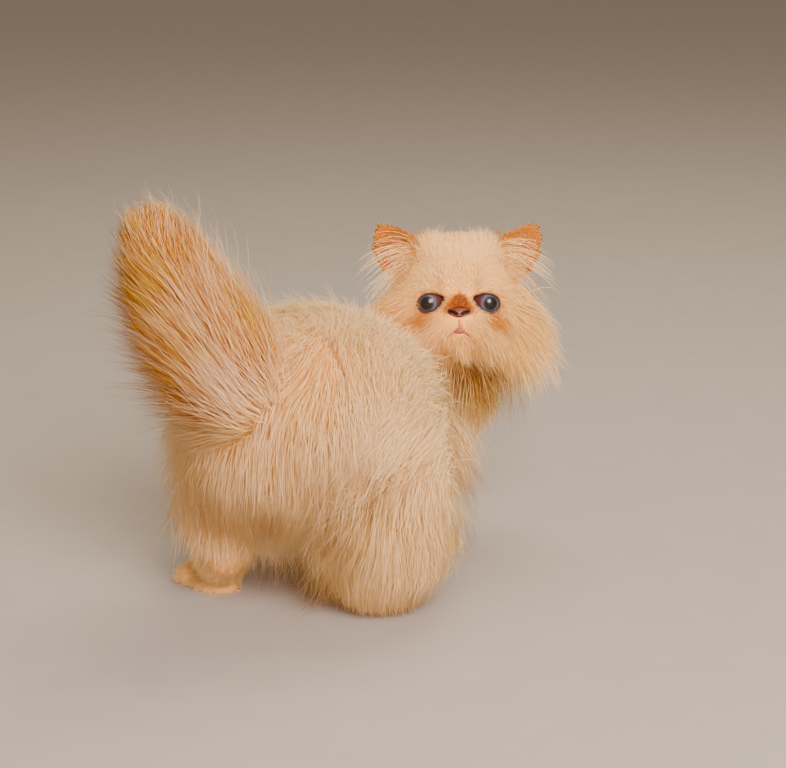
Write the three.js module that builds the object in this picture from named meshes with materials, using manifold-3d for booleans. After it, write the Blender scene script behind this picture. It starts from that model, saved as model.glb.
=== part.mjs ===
// A Persian kitten of about ten weeks, life size: it stands with its tail raised and looks back
// over its right shoulder. Millimetres: +X is the cat's right, +Y the way its hindquarters head, +Z up.
import * as THREE from "three";
import { mergeVertices } from "three/addons/utils/BufferGeometryUtils.js";
import Module from "manifold-3d";

const wasm = await Module();
wasm.setup();

const V = (x, y, z) => new THREE.Vector3(x, y, z);
const UP = V(0, 0, 1);
const AHEAD = V(0, 1, 0);
const TURN = 2 * Math.PI;
const { clamp, degToRad, lerp, smoothstep } = THREE.MathUtils;

// Driving sizes. A coat's depth is measured out from the skin, and its dense core is solid.
const CORE_SHARE = 0.42;
const TAIL_CORE_SHARE = 0.45;
const GAP = 0.3;
const GRID = 0.002;
const FLOOR_CLEARANCE = 0.8;
const SEED = 9;

// Stations along each limb: place of its centre, half-width, half-height, depth of the coat.
const TORSO = [
  [V(-1, -30, 67), 18, 17, 14],
  [V(-3, -22, 90), 34, 28, 21],
  [V(-1, 8, 98), 38, 33, 22],
  [V(3, 40, 90), 40, 33, 24],
  [V(13, 70, 75), 33, 28, 23],
  [V(38, 90, 70), 25, 24, 22],
];
const NECK = [
  [V(28, 84, 82), 24, 24, 20],
  [V(38, 104, 102), 20, 20, 26],
  [V(44, 114, 122), 17, 17, 24],
];
const TAIL = [
  [V(-3, -36, 100), 8, 8, 23],
  [V(-16, -43, 124), 8, 8, 27],
  [V(-37, -42, 152), 7, 7, 23],
  [V(-57, -37, 185), 5, 5, 15],
];
const HIND_LEGS = {
  left: [
    [V(-20, -6, 92), 23, 28, 18],
    [V(-31, 8, 66), 21, 26, 20],
    [V(-37, 2, 43), 14, 17, 19],
    [V(-35, -9, 27), 9, 10, 19],
    [V(-42, -3, 9), 8, 9, 7],
  ],
  right: [
    [V(22, -6, 92), 24, 29, 20],
    [V(37, 14, 66), 22, 27, 24],
    [V(41, 8, 42), 15, 18, 26],
    [V(39, 4, 27), 10, 11, 24],
    [V(39, 14, 11), 8, 9, 14],
  ],
};
const FORELEGS = {
  left: [
    [V(12, 92, 72), 16, 19, 18],
    [V(7, 98, 50), 12, 13, 13],
    [V(5, 100, 25), 8, 8, 7],
    [V(5, 100, 8), 8, 8, 3],
  ],
  right: [
    [V(36, 76, 72), 16, 19, 18],
    [V(36, 78, 50), 12, 13, 13],
    [V(36, 78, 25), 8, 8, 7],
    [V(37, 79, 8), 8, 8, 3],
  ],
};
// Each paw: its middle on the floor, which way the toes point in degrees left of +Y, and its size.
const PAWS = {
  hind_left: { at: V(-48, 2, 0), heading: 62, half: V(10.5, 15, 12) },
  hind_right: { at: V(41, 22, 0), heading: -12, half: V(10.5, 15, 12) },
  fore_left: { at: V(7, 105, 0), heading: -25, half: V(10, 12, 12) },
  fore_right: { at: V(39, 84, 0), heading: -35, half: V(10, 12, 12) },
};

// The head faces +Y in its own frame. Its surface is an ellipsoid with a swelling for each feature:
// where it sits, how far it stands out and how wide it spreads. A pair is mirrored.
const HEAD = { at: V(46, 105, 132.5), half: V(27, 25, 29), yaw: -160, pitch: 10 };
const SWELLINGS = [
  { at: V(6.5, 24, -12.5), rise: 5, spread: 5.2, pair: true }, // whisker pads
  { at: V(0, 22, -21), rise: 4.5, spread: 6 }, // chin
  { at: V(0, 25, -4), rise: 2, spread: 4.5 }, // nose bridge
  { at: V(0, 24, 6), rise: -1.4, spread: 5 }, // stop, above the nose
  { at: V(8.5, 23, 1), rise: -3, spread: 3.6, pair: true }, // inner corners of the eyes
  { at: V(21.5, 16, 0), rise: 3, spread: 4.5, pair: true }, // outer corners of the eyes
  { at: V(12, 22, 11), rise: 1.6, spread: 8, pair: true }, // brows
  { at: V(22, 12, -13), rise: 3.5, spread: 12, pair: true }, // cheeks
  { at: V(14, 22, -9.5), rise: -1.2, spread: 4, pair: true }, // under the eyes
];
// How deep the coat is on the face, the crown and the cheeks.
const FACE_FUR = 1.5;
const CROWN_FUR = 8;
const CHEEK_FUR = 17;
const EYE = {
  at: V(14.1, 14.2, -1),
  radius: 8.5,
  bulge: 0.7,
  gaze: 14,
  open: V(7.1, 0, 5.3),
  lid: V(1.3, 0, 1.1),
};
const NOSE = { at: V(0, -1, -6.2), half: V(5.6, 3.2, 3.2), flare: 0.35 };
const MOUTH = { top: -9.4, fork: -12.8, corner: V(8, 0, -20), line: 0.7 };
// Along an ear, from its sunk base to its tip: how far, and how wide as a share of the widest.
const EAR = {
  base: V(24, -3, 17),
  tip: V(40.5, 1, 38.5),
  wide: 12.5,
  thick: 5.5,
  wall: 1.8,
  leaf: [
    [-0.15, 0.85],
    [0.25, 1],
    [0.55, 0.85],
    [0.82, 0.5],
    [1, 0.15],
  ],
};
const TOE = { half: V(4.4, 6, 5), across: [-0.72, -0.25, 0.25, 0.72], reach: 0.85 };

// A lock sinks to rootShare, bends at bendShare and ends at the hair tips, a flat, tapered leaf.
const LOCK = { steps: 4, shortest: 7, rootShare: -0.15, bendShare: 1.15, rootTaper: 0.45, tipTaper: 0.75, flat: 0.24 };
// The coat of each part: its rows of locks, from and to as shares of the part's length, the locks in
// its fullest row, their length and half-width, and the lie, along the part and straight down.
const COATS = {
  torso: { rows: 8, from: 0.06, to: 0.94, count: 11, long: 48, wide: 12.5, lie: { along: -1, down: 0.7 } },
  neck: { rows: 3, from: 0.2, to: 0.75, count: 11, long: 42, wide: 10, lie: { along: -1, down: 0.6 } },
  tail: { rows: 5, from: 0.12, to: 0.85, count: 7, long: 42, wide: 9.5, lie: { along: 1, down: -0.1 } },
  head: { rows: 3, from: 0.62, to: 0.3, count: 11, long: 28, wide: 8, lie: { along: -1, down: 0.7 } },
  hind_left: { rows: 3, from: 0.2, to: 0.52, count: 5, long: 32, wide: 11, lie: { along: 1, down: 0.4 } },
  hind_right: { rows: 3, from: 0.2, to: 0.54, count: 5, long: 32, wide: 12, lie: { along: 1, down: 0.4 } },
  fore_left: { rows: 1, from: 0.5, to: 0.5, count: 5, long: 24, wide: 8, lie: { along: 1, down: 0.4 } },
  fore_right: { rows: 1, from: 0.5, to: 0.5, count: 5, long: 24, wide: 8, lie: { along: 1, down: 0.4 } },
};
const EAR_TUFTS = { count: 4, long: 27, wide: 4, lowest: -48, highest: 10, droop: 9 };

// Larger than the cat, for a cutting block.
const REACH = 600;
const FINISHES = {
  torso: [0xe2bd96, 0.9],
  neck: [0xdcb896, 0.9],
  head: [0xecc69c, 0.9],
  ear: [0xcd8e58, 0.9],
  eye: [0x6f7480, 0.15],
  nose: [0x904027, 0.5],
  tail: [0xc98f5e, 0.9],
  hind_leg: [0xe0b88e, 0.9],
  foreleg: [0xdcb48a, 0.9],
};

function seeded(seed) {
  let state = seed;
  return () => {
    state = (state + 0x6d2b79f5) | 0;
    let t = Math.imul(state ^ (state >>> 15), 1 | state);
    t = (t + Math.imul(t ^ (t >>> 7), 61 | t)) ^ t;
    return ((t ^ (t >>> 14)) >>> 0) / 4294967296;
  };
}
const random = seeded(SEED);
const vary = (share) => 1 + share * (2 * random() - 1);

// A sphere whose every point is moved to place(v, angle): v runs 0 to 1 from pole to pole.
function closedForm(around, along, place) {
  const ball = new THREE.SphereGeometry(1, around, along);
  const at = ball.attributes.position;
  for (let i = 0; i < at.count; i++) {
    const v = Math.acos(clamp(-at.getY(i), -1, 1)) / Math.PI;
    const q = place(v, Math.atan2(at.getZ(i), at.getX(i)));
    at.setXYZ(i, q.x, q.y, q.z);
  }
  return ball;
}

// How far along a line the point v of a closed form lies, close-set at both ends, and back again.
const alongLine = (v) => (1 - Math.cos(Math.PI * v)) / 2;
const pointOfLine = (t) => Math.acos(1 - 2 * t) / Math.PI;

function solid(geometry) {
  const bare = new THREE.BufferGeometry();
  bare.setAttribute("position", geometry.getAttribute("position"));
  bare.setIndex(geometry.getIndex());
  const merged = mergeVertices(bare, 1e-4);
  return new wasm.Manifold(
    new wasm.Mesh({
      numProp: 3,
      vertProperties: merged.attributes.position.array,
      triVerts: new Uint32Array(merged.index.array),
    }),
  );
}

function geometryOf(manifold) {
  const mesh = manifold.getMesh();
  const geometry = new THREE.BufferGeometry();
  geometry.setAttribute("position", new THREE.BufferAttribute(mesh.vertProperties, 3));
  geometry.setIndex(new THREE.BufferAttribute(mesh.triVerts, 1));
  return geometry;
}

// Sets every corner on a fine grid, so that any two are alike or well apart. Drops the faces that
// this flattens, and any two that it lays back to back.
function onGrid(manifold) {
  const geometry = geometryOf(manifold);
  const at = geometry.getAttribute("position");
  at.array.forEach((x, i) => {
    at.array[i] = Math.round(x / GRID) * GRID;
  });
  const merged = mergeVertices(geometry, GRID / 4);
  const faces = new Map();
  for (let i = 0; i < merged.index.count; i += 3) {
    const corners = [...merged.index.array.slice(i, i + 3)];
    const key = corners.toSorted().join();
    if (faces.has(key)) {
      faces.delete(key);
    } else if (new Set(corners).size === 3) {
      faces.set(key, corners);
    }
  }
  return new wasm.Manifold(
    new wasm.Mesh({
      numProp: 3,
      vertProperties: merged.attributes.position.array,
      triVerts: new Uint32Array([...faces.values()].flat()),
    }),
  );
}

const join = (geometries) => wasm.Manifold.union(geometries.map(solid));

function largest(manifold) {
  return manifold.decompose().sort((a, b) => b.volume() - a.volume())[0];
}

const LOCK_FULLEST = ((a, b) => (a / (a + b)) ** a * (b / (a + b)) ** b)(LOCK.rootTaper, LOCK.tipTaper);

// A flat lock of hair with a ridge along its back: it widens from its root, bends and tapers.
function lockForm(root, bend, tip, halfWidth, normal) {
  const line = new THREE.QuadraticBezierCurve3(root, bend, tip);
  return closedForm(3, LOCK.steps, (v, turned) => {
    const t = alongLine(v);
    const angle = turned - Math.PI / 2;
    const swell = (t ** LOCK.rootTaper * (1 - t) ** LOCK.tipTaper) / LOCK_FULLEST;
    const ahead = line.getTangent(t);
    const side = ahead.clone().cross(normal).normalize();
    const rise = side.clone().cross(ahead);
    const at = line
      .getPoint(t)
      .addScaledVector(side, Math.cos(angle) * halfWidth * swell)
      .addScaledVector(rise, Math.sin(angle) * halfWidth * LOCK.flat * swell);
    at.z = Math.max(at.z, FLOOR_CLEARANCE + 0.4 * swell * Math.sin(angle));
    return at;
  });
}

// A part of the body with a coat. surface(v, angle, share) is a point of it: v runs from one end to
// the other, angle around it, and share out through the coat, 0 at the skin and 1 at the hair tips.
class Coated {
  form(around, along, share) {
    return closedForm(around, along, (v, angle) => this.surface(v, angle, share));
  }

  // Walks over the coat from (v, angle), along its lie, for a length.
  walk(v, angle, length, lie, steps = 6) {
    const nudge = 1e-3;
    for (let i = 0; i < steps; i++) {
      const at = this.surface(v, angle, 0.5);
      const byV = this.surface(v + nudge, angle, 0.5).sub(at).divideScalar(nudge);
      const byAngle = this.surface(v, angle + nudge, 0.5).sub(at).divideScalar(nudge);
      const normal = byV.clone().cross(byAngle).normalize();
      const want = this.ahead(v).multiplyScalar(lie.along).addScaledVector(UP, -lie.down);
      want.addScaledVector(normal, -want.dot(normal)).setLength(length / steps);
      const vv = byV.dot(byV);
      const va = byV.dot(byAngle);
      const aa = byAngle.dot(byAngle);
      const scale = vv * aa - va * va;
      v = clamp(v + (want.dot(byV) * aa - want.dot(byAngle) * va) / scale, 0.03, 0.97);
      angle += (want.dot(byAngle) * vv - want.dot(byV) * va) / scale;
    }
    return [v, angle];
  }

  coatDepth(v, angle) {
    return this.surface(v, angle, 1).distanceTo(this.surface(v, angle, 0));
  }

  // Rows of locks along the part, staggered, leaving out any that would stand in short fur or whose
  // root another part covers.
  locks({ rows, from, to, count, long, wide, lie }, covering) {
    const forms = [];
    for (let row = 0; row < rows; row++) {
      const v = pointOfLine(lerp(from, to, rows > 1 ? row / (rows - 1) : 0));
      const inRow = Math.round(count * Math.sin(Math.PI * v) ** 0.5);
      for (let i = 0; i < inRow; i++) {
        const angle = ((i + (row % 2) / 2 + 0.2 * (2 * random() - 1)) / inRow) * TURN;
        const length = long * vary(0.15);
        const halfWidth = wide * vary(0.12);
        const tipShare = vary(0.06) + 0.04;
        const crown = this.surface(v, angle, CORE_SHARE);
        if (this.coatDepth(v, angle) < LOCK.shortest || covering.some((part) => part.covers(crown))) {
          continue;
        }
        const root = this.surface(v, angle, LOCK.rootShare);
        const normal = crown.clone().sub(root).normalize();
        const bend = this.surface(...this.walk(v, angle, length * 0.45, lie), LOCK.bendShare);
        const tip = this.surface(...this.walk(v, angle, length, lie), tipShare);
        forms.push(lockForm(root, bend, tip, halfWidth, normal));
      }
    }
    return forms;
  }
}

// A limb is an ellipse swept along a curve, its ends rounded.
class Limb extends Coated {
  constructor(stations, { up = UP, fullness = 0.55, egg = 0, thinTop = 0 } = {}) {
    super();
    Object.assign(this, { up, fullness, egg, thinTop });
    this.line = new THREE.CatmullRomCurve3(
      stations.map((s) => s[0]),
      false,
      "catmullrom",
    );
    this.sizes = new THREE.CatmullRomCurve3(
      stations.map((s) => V(s[1], s[2], s[3])),
      false,
      "catmullrom",
    );
  }

  ahead(v) {
    return this.line.getTangent(alongLine(v));
  }

  frame(t) {
    const ahead = this.line.getTangent(t);
    const side = ahead.clone().cross(this.up).normalize();
    return { centre: this.line.getPoint(t), ahead, side, rise: side.clone().cross(ahead) };
  }

  surface(v, angle, share) {
    const t = alongLine(v);
    const swell = Math.max(Math.sin(Math.PI * v), 0) ** this.fullness;
    const { centre, ahead, side, rise } = this.frame(t);
    const size = this.sizes.getPoint(t);
    const c = Math.cos(angle);
    const s = Math.sin(angle);
    const grow = size.z * (1 - this.thinTop * s) * share;
    return centre
      .addScaledVector(side, c * (size.x * (1 - this.egg * s) + grow) * swell)
      .addScaledVector(rise, s * (size.y + grow) * swell)
      .addScaledVector(ahead, -grow * Math.cos(Math.PI * v));
  }

  // Whether a point lies inside the dense core.
  covers(point, slices = 24) {
    for (let i = 1; i < slices; i++) {
      const { centre, ahead, side, rise } = this.frame(i / slices);
      const size = this.sizes.getPoint(i / slices);
      const swell = Math.sin(Math.acos(1 - (2 * i) / slices)) ** this.fullness;
      const off = point.clone().sub(centre);
      const grow = size.z * CORE_SHARE * 0.8;
      const out = Math.hypot(off.dot(side) / (size.x + grow), off.dot(rise) / (size.y + grow));
      if (Math.abs(off.dot(ahead)) < 6 && out < swell) {
        return true;
      }
    }
    return false;
  }
}

const HEAD_POSE = new THREE.Matrix4()
  .makeRotationZ(degToRad(HEAD.yaw))
  .multiply(new THREE.Matrix4().makeRotationX(degToRad(HEAD.pitch)))
  .setPosition(HEAD.at);
const mirrored = (p, side) => V(p.x * side, p.y, p.z);
const inHead = (geometry) => geometry.applyMatrix4(HEAD_POSE);

class Head extends Coated {
  constructor() {
    super();
    this.swellings = SWELLINGS.flatMap((s) =>
      (s.pair ? [1, -1] : [1]).map((side) => {
        const at = mirrored(s.at, side);
        return { ...s, at: at.multiplyScalar(1 / at.clone().divide(HEAD.half).length()) };
      }),
    );
    this.inverse = HEAD_POSE.clone().invert();
  }

  ahead() {
    return V(0, 1, 0).transformDirection(HEAD_POSE);
  }

  // Short on the face, a little longer on the crown, long over the cheeks and at the back.
  fur(towards) {
    const face = smoothstep(towards.y, 0.3, 0.8);
    const low = smoothstep(-towards.z, -0.3, 0.5);
    return lerp(lerp(CROWN_FUR, CHEEK_FUR, low), FACE_FUR, face);
  }

  radius(towards, share, extra = 0) {
    const bare = 1 / towards.clone().divide(HEAD.half).length();
    const at = towards.clone().multiplyScalar(bare);
    const rise = this.swellings.reduce(
      (sum, s) => sum + s.rise * Math.exp(-at.distanceToSquared(s.at) / (2 * s.spread ** 2)),
      0,
    );
    return bare + rise + this.fur(towards) * share + extra;
  }

  surface(v, angle, share) {
    const turn = Math.PI * Math.max(1 - v, 0) ** 1.25;
    const towards = V(
      Math.sin(turn) * Math.cos(angle),
      Math.cos(turn),
      Math.sin(turn) * Math.sin(angle),
    );
    return towards.multiplyScalar(this.radius(towards, share)).applyMatrix4(HEAD_POSE);
  }

  // The point of the face in front of (x, z), in the head's own frame.
  face(x, z, lift = 0) {
    const at = V(x, HEAD.half.y, z);
    for (let i = 0; i < 8; i++) {
      const r = this.radius(at.clone().normalize(), CORE_SHARE, lift);
      at.y = Math.sqrt(Math.max(r * r - x * x - z * z, 0));
    }
    return at;
  }

  covers(point) {
    const local = point.clone().applyMatrix4(this.inverse);
    return local.length() < this.radius(local.clone().normalize(), CORE_SHARE * 0.8);
  }
}

const head = new Head();
const torso = new Limb(TORSO, { fullness: 0.5, egg: 0.12, thinTop: 0.3 });
const neck = new Limb(NECK, { up: AHEAD });
const tail = new Limb(TAIL, { up: AHEAD.clone().negate() });
const legs = {
  hind_left: new Limb(HIND_LEGS.left, { up: AHEAD }),
  hind_right: new Limb(HIND_LEGS.right, { up: AHEAD }),
  fore_left: new Limb(FORELEGS.left, { up: AHEAD }),
  fore_right: new Limb(FORELEGS.right, { up: AHEAD }),
};

function ellipsoid(half, around, along) {
  return closedForm(around, along, (v, angle) => {
    const ring = Math.sin(Math.PI * v);
    return V(
      half.x * ring * Math.cos(angle),
      -half.y * Math.cos(Math.PI * v),
      half.z * ring * Math.sin(angle),
    );
  });
}

// A paw is a pad with four toes at its front, all resting on the floor.
function pawForms({ at, heading, half }) {
  const forms = [ellipsoid(half, 9, 6)];
  for (const across of TOE.across) {
    const toe = ellipsoid(TOE.half, 6, 4);
    const forward = half.y * (TOE.reach - 0.3 * across ** 2);
    forms.push(toe.rotateZ(-across * 0.35).translate(across * half.x, forward, TOE.half.z * 0.7));
  }
  return forms.map((f) => f.rotateZ(degToRad(heading)).translate(at.x, at.y, 0));
}

const eyePlace = (side, yaw) =>
  new THREE.Matrix4().makeRotationZ(degToRad(-yaw * side)).setPosition(mirrored(EYE.at, side));

// The eyeball, with the clear front bulging a little ahead of the ball where it gazes.
function eyeForm(side, extra = 0) {
  const ball = closedForm(12, 8, (v, angle) => {
    const turn = Math.PI * (1 - v);
    const r = EYE.radius + extra + EYE.bulge * Math.exp(-((turn / 0.5) ** 2));
    return V(
      r * Math.sin(turn) * Math.cos(angle),
      r * Math.cos(turn),
      r * Math.sin(turn) * Math.sin(angle),
    );
  });
  return inHead(ball.applyMatrix4(eyePlace(side, EYE.gaze)));
}

// The edge of the opening between the lids, seen from the front: its inner corner sits high.
function lidLine(side) {
  const { x, z } = EYE.open;
  const inner = new THREE.Vector2(-x * side, 0.62 * z);
  const outer = new THREE.Vector2(x * side, -0.12 * z);
  const point = (across, up) => new THREE.Vector2(across * x * side, up * z);
  return {
    upper: new THREE.CubicBezierCurve(inner, point(-0.45, 1.35), point(0.85, 1.45), outer),
    lower: new THREE.CubicBezierCurve(outer, point(0.95, -1.5), point(-0.6, -1.35), inner),
  };
}

function eyeOpening(side) {
  const { upper, lower } = lidLine(side);
  const steps = 7;
  const edge = [...upper.getPoints(steps), ...lower.getPoints(steps).slice(1, -1)];
  const shape = new THREE.Shape(edge.map(({ x, y }) => new THREE.Vector2(x, -y)));
  const cut = new THREE.ExtrudeGeometry(shape, { depth: 3 * EYE.radius, bevelEnabled: false });
  return inHead(cut.rotateX(-Math.PI / 2).applyMatrix4(eyePlace(side, 0)));
}

// The lids: rolls that follow the edge of the opening and hug the eyeball.
function lidForms(side) {
  const over = EYE.radius + GAP + 0.6 * EYE.lid.x;
  return Object.values(lidLine(side)).map((line) => {
    const stations = line.getPoints(4).map(({ x, y }) => [
      V(x * 1.06, Math.sqrt(over ** 2 - x ** 2 - y ** 2), y * 1.08),
      EYE.lid.x,
      EYE.lid.z,
      0,
    ]);
    return inHead(new Limb(stations, { up: AHEAD }).form(6, 8, 0).applyMatrix4(eyePlace(side, 0)));
  });
}

// The nose leather: broad above and narrow below.
function noseForm(extra = 0) {
  const { x, y, z } = NOSE.half;
  const form = closedForm(12, 8, (v, angle) => {
    const ring = Math.sin(Math.PI * v);
    const up = ring * Math.sin(angle);
    return V(
      (x * (1 + NOSE.flare * up) + extra) * ring * Math.cos(angle),
      -(y + extra) * Math.cos(Math.PI * v),
      (z + extra) * up,
    );
  });
  const at = head.face(NOSE.at.x, NOSE.at.z, NOSE.at.y - NOSE.half.y / 2);
  return inHead(form.translate(at.x, at.y, at.z));
}

// A tapered roll along points of the face, given as [x, z] in the head's frame.
function roll(points, halfWidth, halfHeight, lift = 0) {
  const stations = points.map(([x, z]) => [head.face(x, z, lift), halfWidth, halfHeight, 0]);
  return inHead(new Limb(stations, { up: AHEAD }).form(6, 8, 0));
}

const nostrils = [1, -1].map((side) =>
  inHead(
    ellipsoid(V(1.7, 2.4, 0.9), 6, 5)
      .rotateY(0.3 * side)
      .translate(side * 3.2, head.face(0, NOSE.at.z).y + 1.4, NOSE.at.z - 0.7),
  ),
);
const mouthLines = [
  roll([[0, MOUTH.top], [0, (MOUTH.top + MOUTH.fork) / 2], [0, MOUTH.fork]], MOUTH.line, 1.4),
  ...[1, -1].map((side) =>
    roll(
      [
        [0, MOUTH.fork],
        [side * 3.6, MOUTH.fork - 3.4],
        [side * MOUTH.corner.x, MOUTH.corner.z],
      ],
      MOUTH.line,
      1.6,
    ),
  ),
];
const lowerLip = roll(
  [[-3.4, MOUTH.fork - 4.6], [0, MOUTH.fork - 2.6], [3.4, MOUTH.fork - 4.6]],
  1.3,
  1.2,
  0.2,
);

// An ear is a shell: a leaf-shaped form less a cup that opens towards the front.
function earStations(side, shift, trim, thick, first) {
  const base = mirrored(EAR.base, side);
  const tip = mirrored(EAR.tip, side);
  return EAR.leaf
    .filter(([t]) => t >= first)
    .map(([t, wide]) => [
      base.clone().lerp(tip, t).add(V(0, shift, 0)),
      Math.max(EAR.wide * wide - trim, 0.8),
      thick * (0.4 + 0.6 * wide),
      0,
    ]);
}

function ear(side) {
  const options = { up: V(0.35 * side, 1, 0), fullness: 0.45 };
  const shell = new Limb(earStations(side, 0, 0, EAR.thick, -1), options);
  const cup = new Limb(earStations(side, EAR.thick, EAR.wall, 2 * EAR.thick - EAR.wall, 0), options);
  return { shell: inHead(shell.form(10, 9, 0)), cup: inHead(cup.form(10, 8, 0)) };
}
const ears = { left: ear(-1), right: ear(1) };

const parts = { torso, neck, tail, head, ...legs };
const others = (name) => Object.keys(parts).filter((n) => n !== name).map((n) => parts[n]);
const cores = join([
  torso.form(18, 14, CORE_SHARE),
  neck.form(14, 8, CORE_SHARE),
  tail.form(10, 11, TAIL_CORE_SHARE),
  head.form(24, 18, CORE_SHARE),
  legs.hind_left.form(12, 10, CORE_SHARE),
  legs.hind_right.form(12, 10, CORE_SHARE),
  legs.fore_left.form(10, 7, CORE_SHARE),
  legs.fore_right.form(10, 7, CORE_SHARE),
  ...Object.values(PAWS).flatMap(pawForms),
  ...[1, -1].flatMap((side) => [ear(side).shell, ...lidForms(side)]),
]);
const hollows = join([
  noseForm(GAP),
  ...mouthLines,
  ...[1, -1].flatMap((side) => [ear(side).cup, eyeForm(side, GAP), eyeOpening(side)]),
]);

// Slim locks fan out of the inner corner of each ear, across its cup.
function earTufts(side) {
  const base = mirrored(EAR.base, side);
  const tip = mirrored(EAR.tip, side);
  const forms = [];
  for (let i = 0; i < EAR_TUFTS.count; i++) {
    const share = i / (EAR_TUFTS.count - 1);
    const slope = degToRad(lerp(EAR_TUFTS.lowest, EAR_TUFTS.highest, share) * vary(0.05));
    const root = base.clone().lerp(tip, 0.1 + 0.35 * share).add(V(-4 * side * share, -1, 0));
    const reach = V(side * Math.cos(slope), 0.2, Math.sin(slope)).multiplyScalar(EAR_TUFTS.long);
    const bend = root.clone().addScaledVector(reach, 0.55).add(V(0, 3, EAR_TUFTS.droop));
    forms.push(inHead(lockForm(root, bend, root.clone().add(reach), EAR_TUFTS.wide, AHEAD)));
  }
  return forms;
}

const coat = join([
  lowerLip,
  ...Object.entries(COATS).flatMap(([name, coatOf]) => parts[name].locks(coatOf, others(name))),
  ...[1, -1].flatMap(earTufts),
]);

// All of space on one side of a plane, moved out by grow.
function halfSpace([point, normal], grow) {
  const towards = normal.clone().normalize();
  const box = new THREE.BoxGeometry(REACH, REACH, REACH);
  box.applyQuaternion(new THREE.Quaternion().setFromUnitVectors(UP, towards));
  const centre = point.clone().addScaledVector(towards, REACH / 2 - grow);
  return solid(box.translate(centre.x, centre.y, centre.z));
}
const territory = (planes, grow) =>
  planes.map((plane) => halfSpace(plane, grow)).reduce((a, b) => a.intersect(b));

const earPlanes = (side) =>
  [
    [V(24.5 * side, 0, 24.5), V(side, 0, 1)],
    [V(0, 0, 5), V(0, 0, 1)],
    [V(0, -30, 0), V(0, 1, 0)],
    [V(0, 30, 0), V(0, -1, 0)],
  ].map(([point, normal]) => [
    point.applyMatrix4(HEAD_POSE),
    normal.transformDirection(HEAD_POSE),
  ]);

// The body is parted by thin cuts, in this order. Each part keeps what lies inside all its planes.
const PARTING = {
  ear_left: earPlanes(-1),
  ear_right: earPlanes(1),
  head: [
    [V(52, 112, 114), V(0.2, -0.55, 0.81)],
    [V(14, 82, 125), V(0.45, 0.75, 0.5)],
  ],
  tail: [[V(-12, -42, 118), V(-0.3, -0.6, 0.74)]],
  neck: [
    [V(34, 92, 84), V(0.42, 0.52, 0.74)],
    [V(30, 74, 100), V(0.15, 1, -0.35)],
  ],
  hind_leg_left: [
    [V(-20, 0, 76), V(-0.45, -0.1, -0.89)],
    [V(-4, 0, 0), V(-1, 0, 0)],
    [V(0, 42, 60), V(0, -1, 0)],
  ],
  hind_leg_right: [
    [V(22, 0, 76), V(0.45, -0.1, -0.89)],
    [V(6, 0, 0), V(1, 0, 0)],
    [V(0, 42, 60), V(0, -1, 0)],
  ],
  foreleg_left: [
    [V(0, 0, 46), V(0, 0, -1)],
    [V(21, 92, 0), V(-0.78, 0.63, 0)],
    [V(0, 80, 0), V(0, 1, 0)],
  ],
  foreleg_right: [
    [V(0, 0, 46), V(0, 0, -1)],
    [V(21, 92, 0), V(0.78, -0.63, 0)],
    [V(0, 57, 0), V(0, 1, 0)],
    [V(0, 100, 0), V(0, -1, 0)],
    [V(58, 0, 0), V(-1, 0, 0)],
  ],
};

const nodes = {
  eye_left: solid(eyeForm(-1)),
  eye_right: solid(eyeForm(1)),
  nose: solid(noseForm()).subtract(join(nostrils)),
};
let rest = cores.subtract(hollows).add(coat).subtract(join([eyeForm(1, GAP), eyeForm(-1, GAP)]));
rest = rest.intersect(halfSpace([V(0, 0, 0), UP], 0));
for (const [name, planes] of Object.entries(PARTING)) {
  nodes[name] = largest(rest.intersect(territory(planes, -GAP / 2)));
  rest = rest.subtract(territory(planes, GAP / 2));
}
nodes.torso = largest(rest);

const cat = new THREE.Group();
const box = new THREE.Box3();
for (const [name, form] of Object.entries(nodes)) {
  const [colour, roughness] = FINISHES[name.replace(/_(left|right)$/, "")];
  const material = new THREE.MeshStandardMaterial({ color: colour, roughness, metalness: 0 });
  const mesh = new THREE.Mesh(geometryOf(largest(onGrid(form))), material);
  mesh.name = name;
  mesh.geometry.computeBoundingBox();
  box.union(mesh.geometry.boundingBox);
  cat.add(mesh);
}

// The origin is the middle of the floor under the whole cat.
const middle = box.getCenter(V(0, 0, 0)).divideScalar(GRID).round().multiplyScalar(GRID);
cat.position.set(-middle.x, -middle.y, 0);

export default cat;
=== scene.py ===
"""The looks of a Persian kitten, life size, that stands with its tail raised and looks back.

Its shapes are worked out in millimetres, in the frame in which its sizes were measured, and become
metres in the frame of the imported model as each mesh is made. +Z is up, and the cat's right is +X.
"""

import logging
import math
from dataclasses import dataclass, field, fields
from enum import Enum
from typing import Callable, Union

import bpy
import numpy as np
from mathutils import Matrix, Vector
from mathutils.bvhtree import BVHTree
from mathutils.kdtree import KDTree


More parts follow.
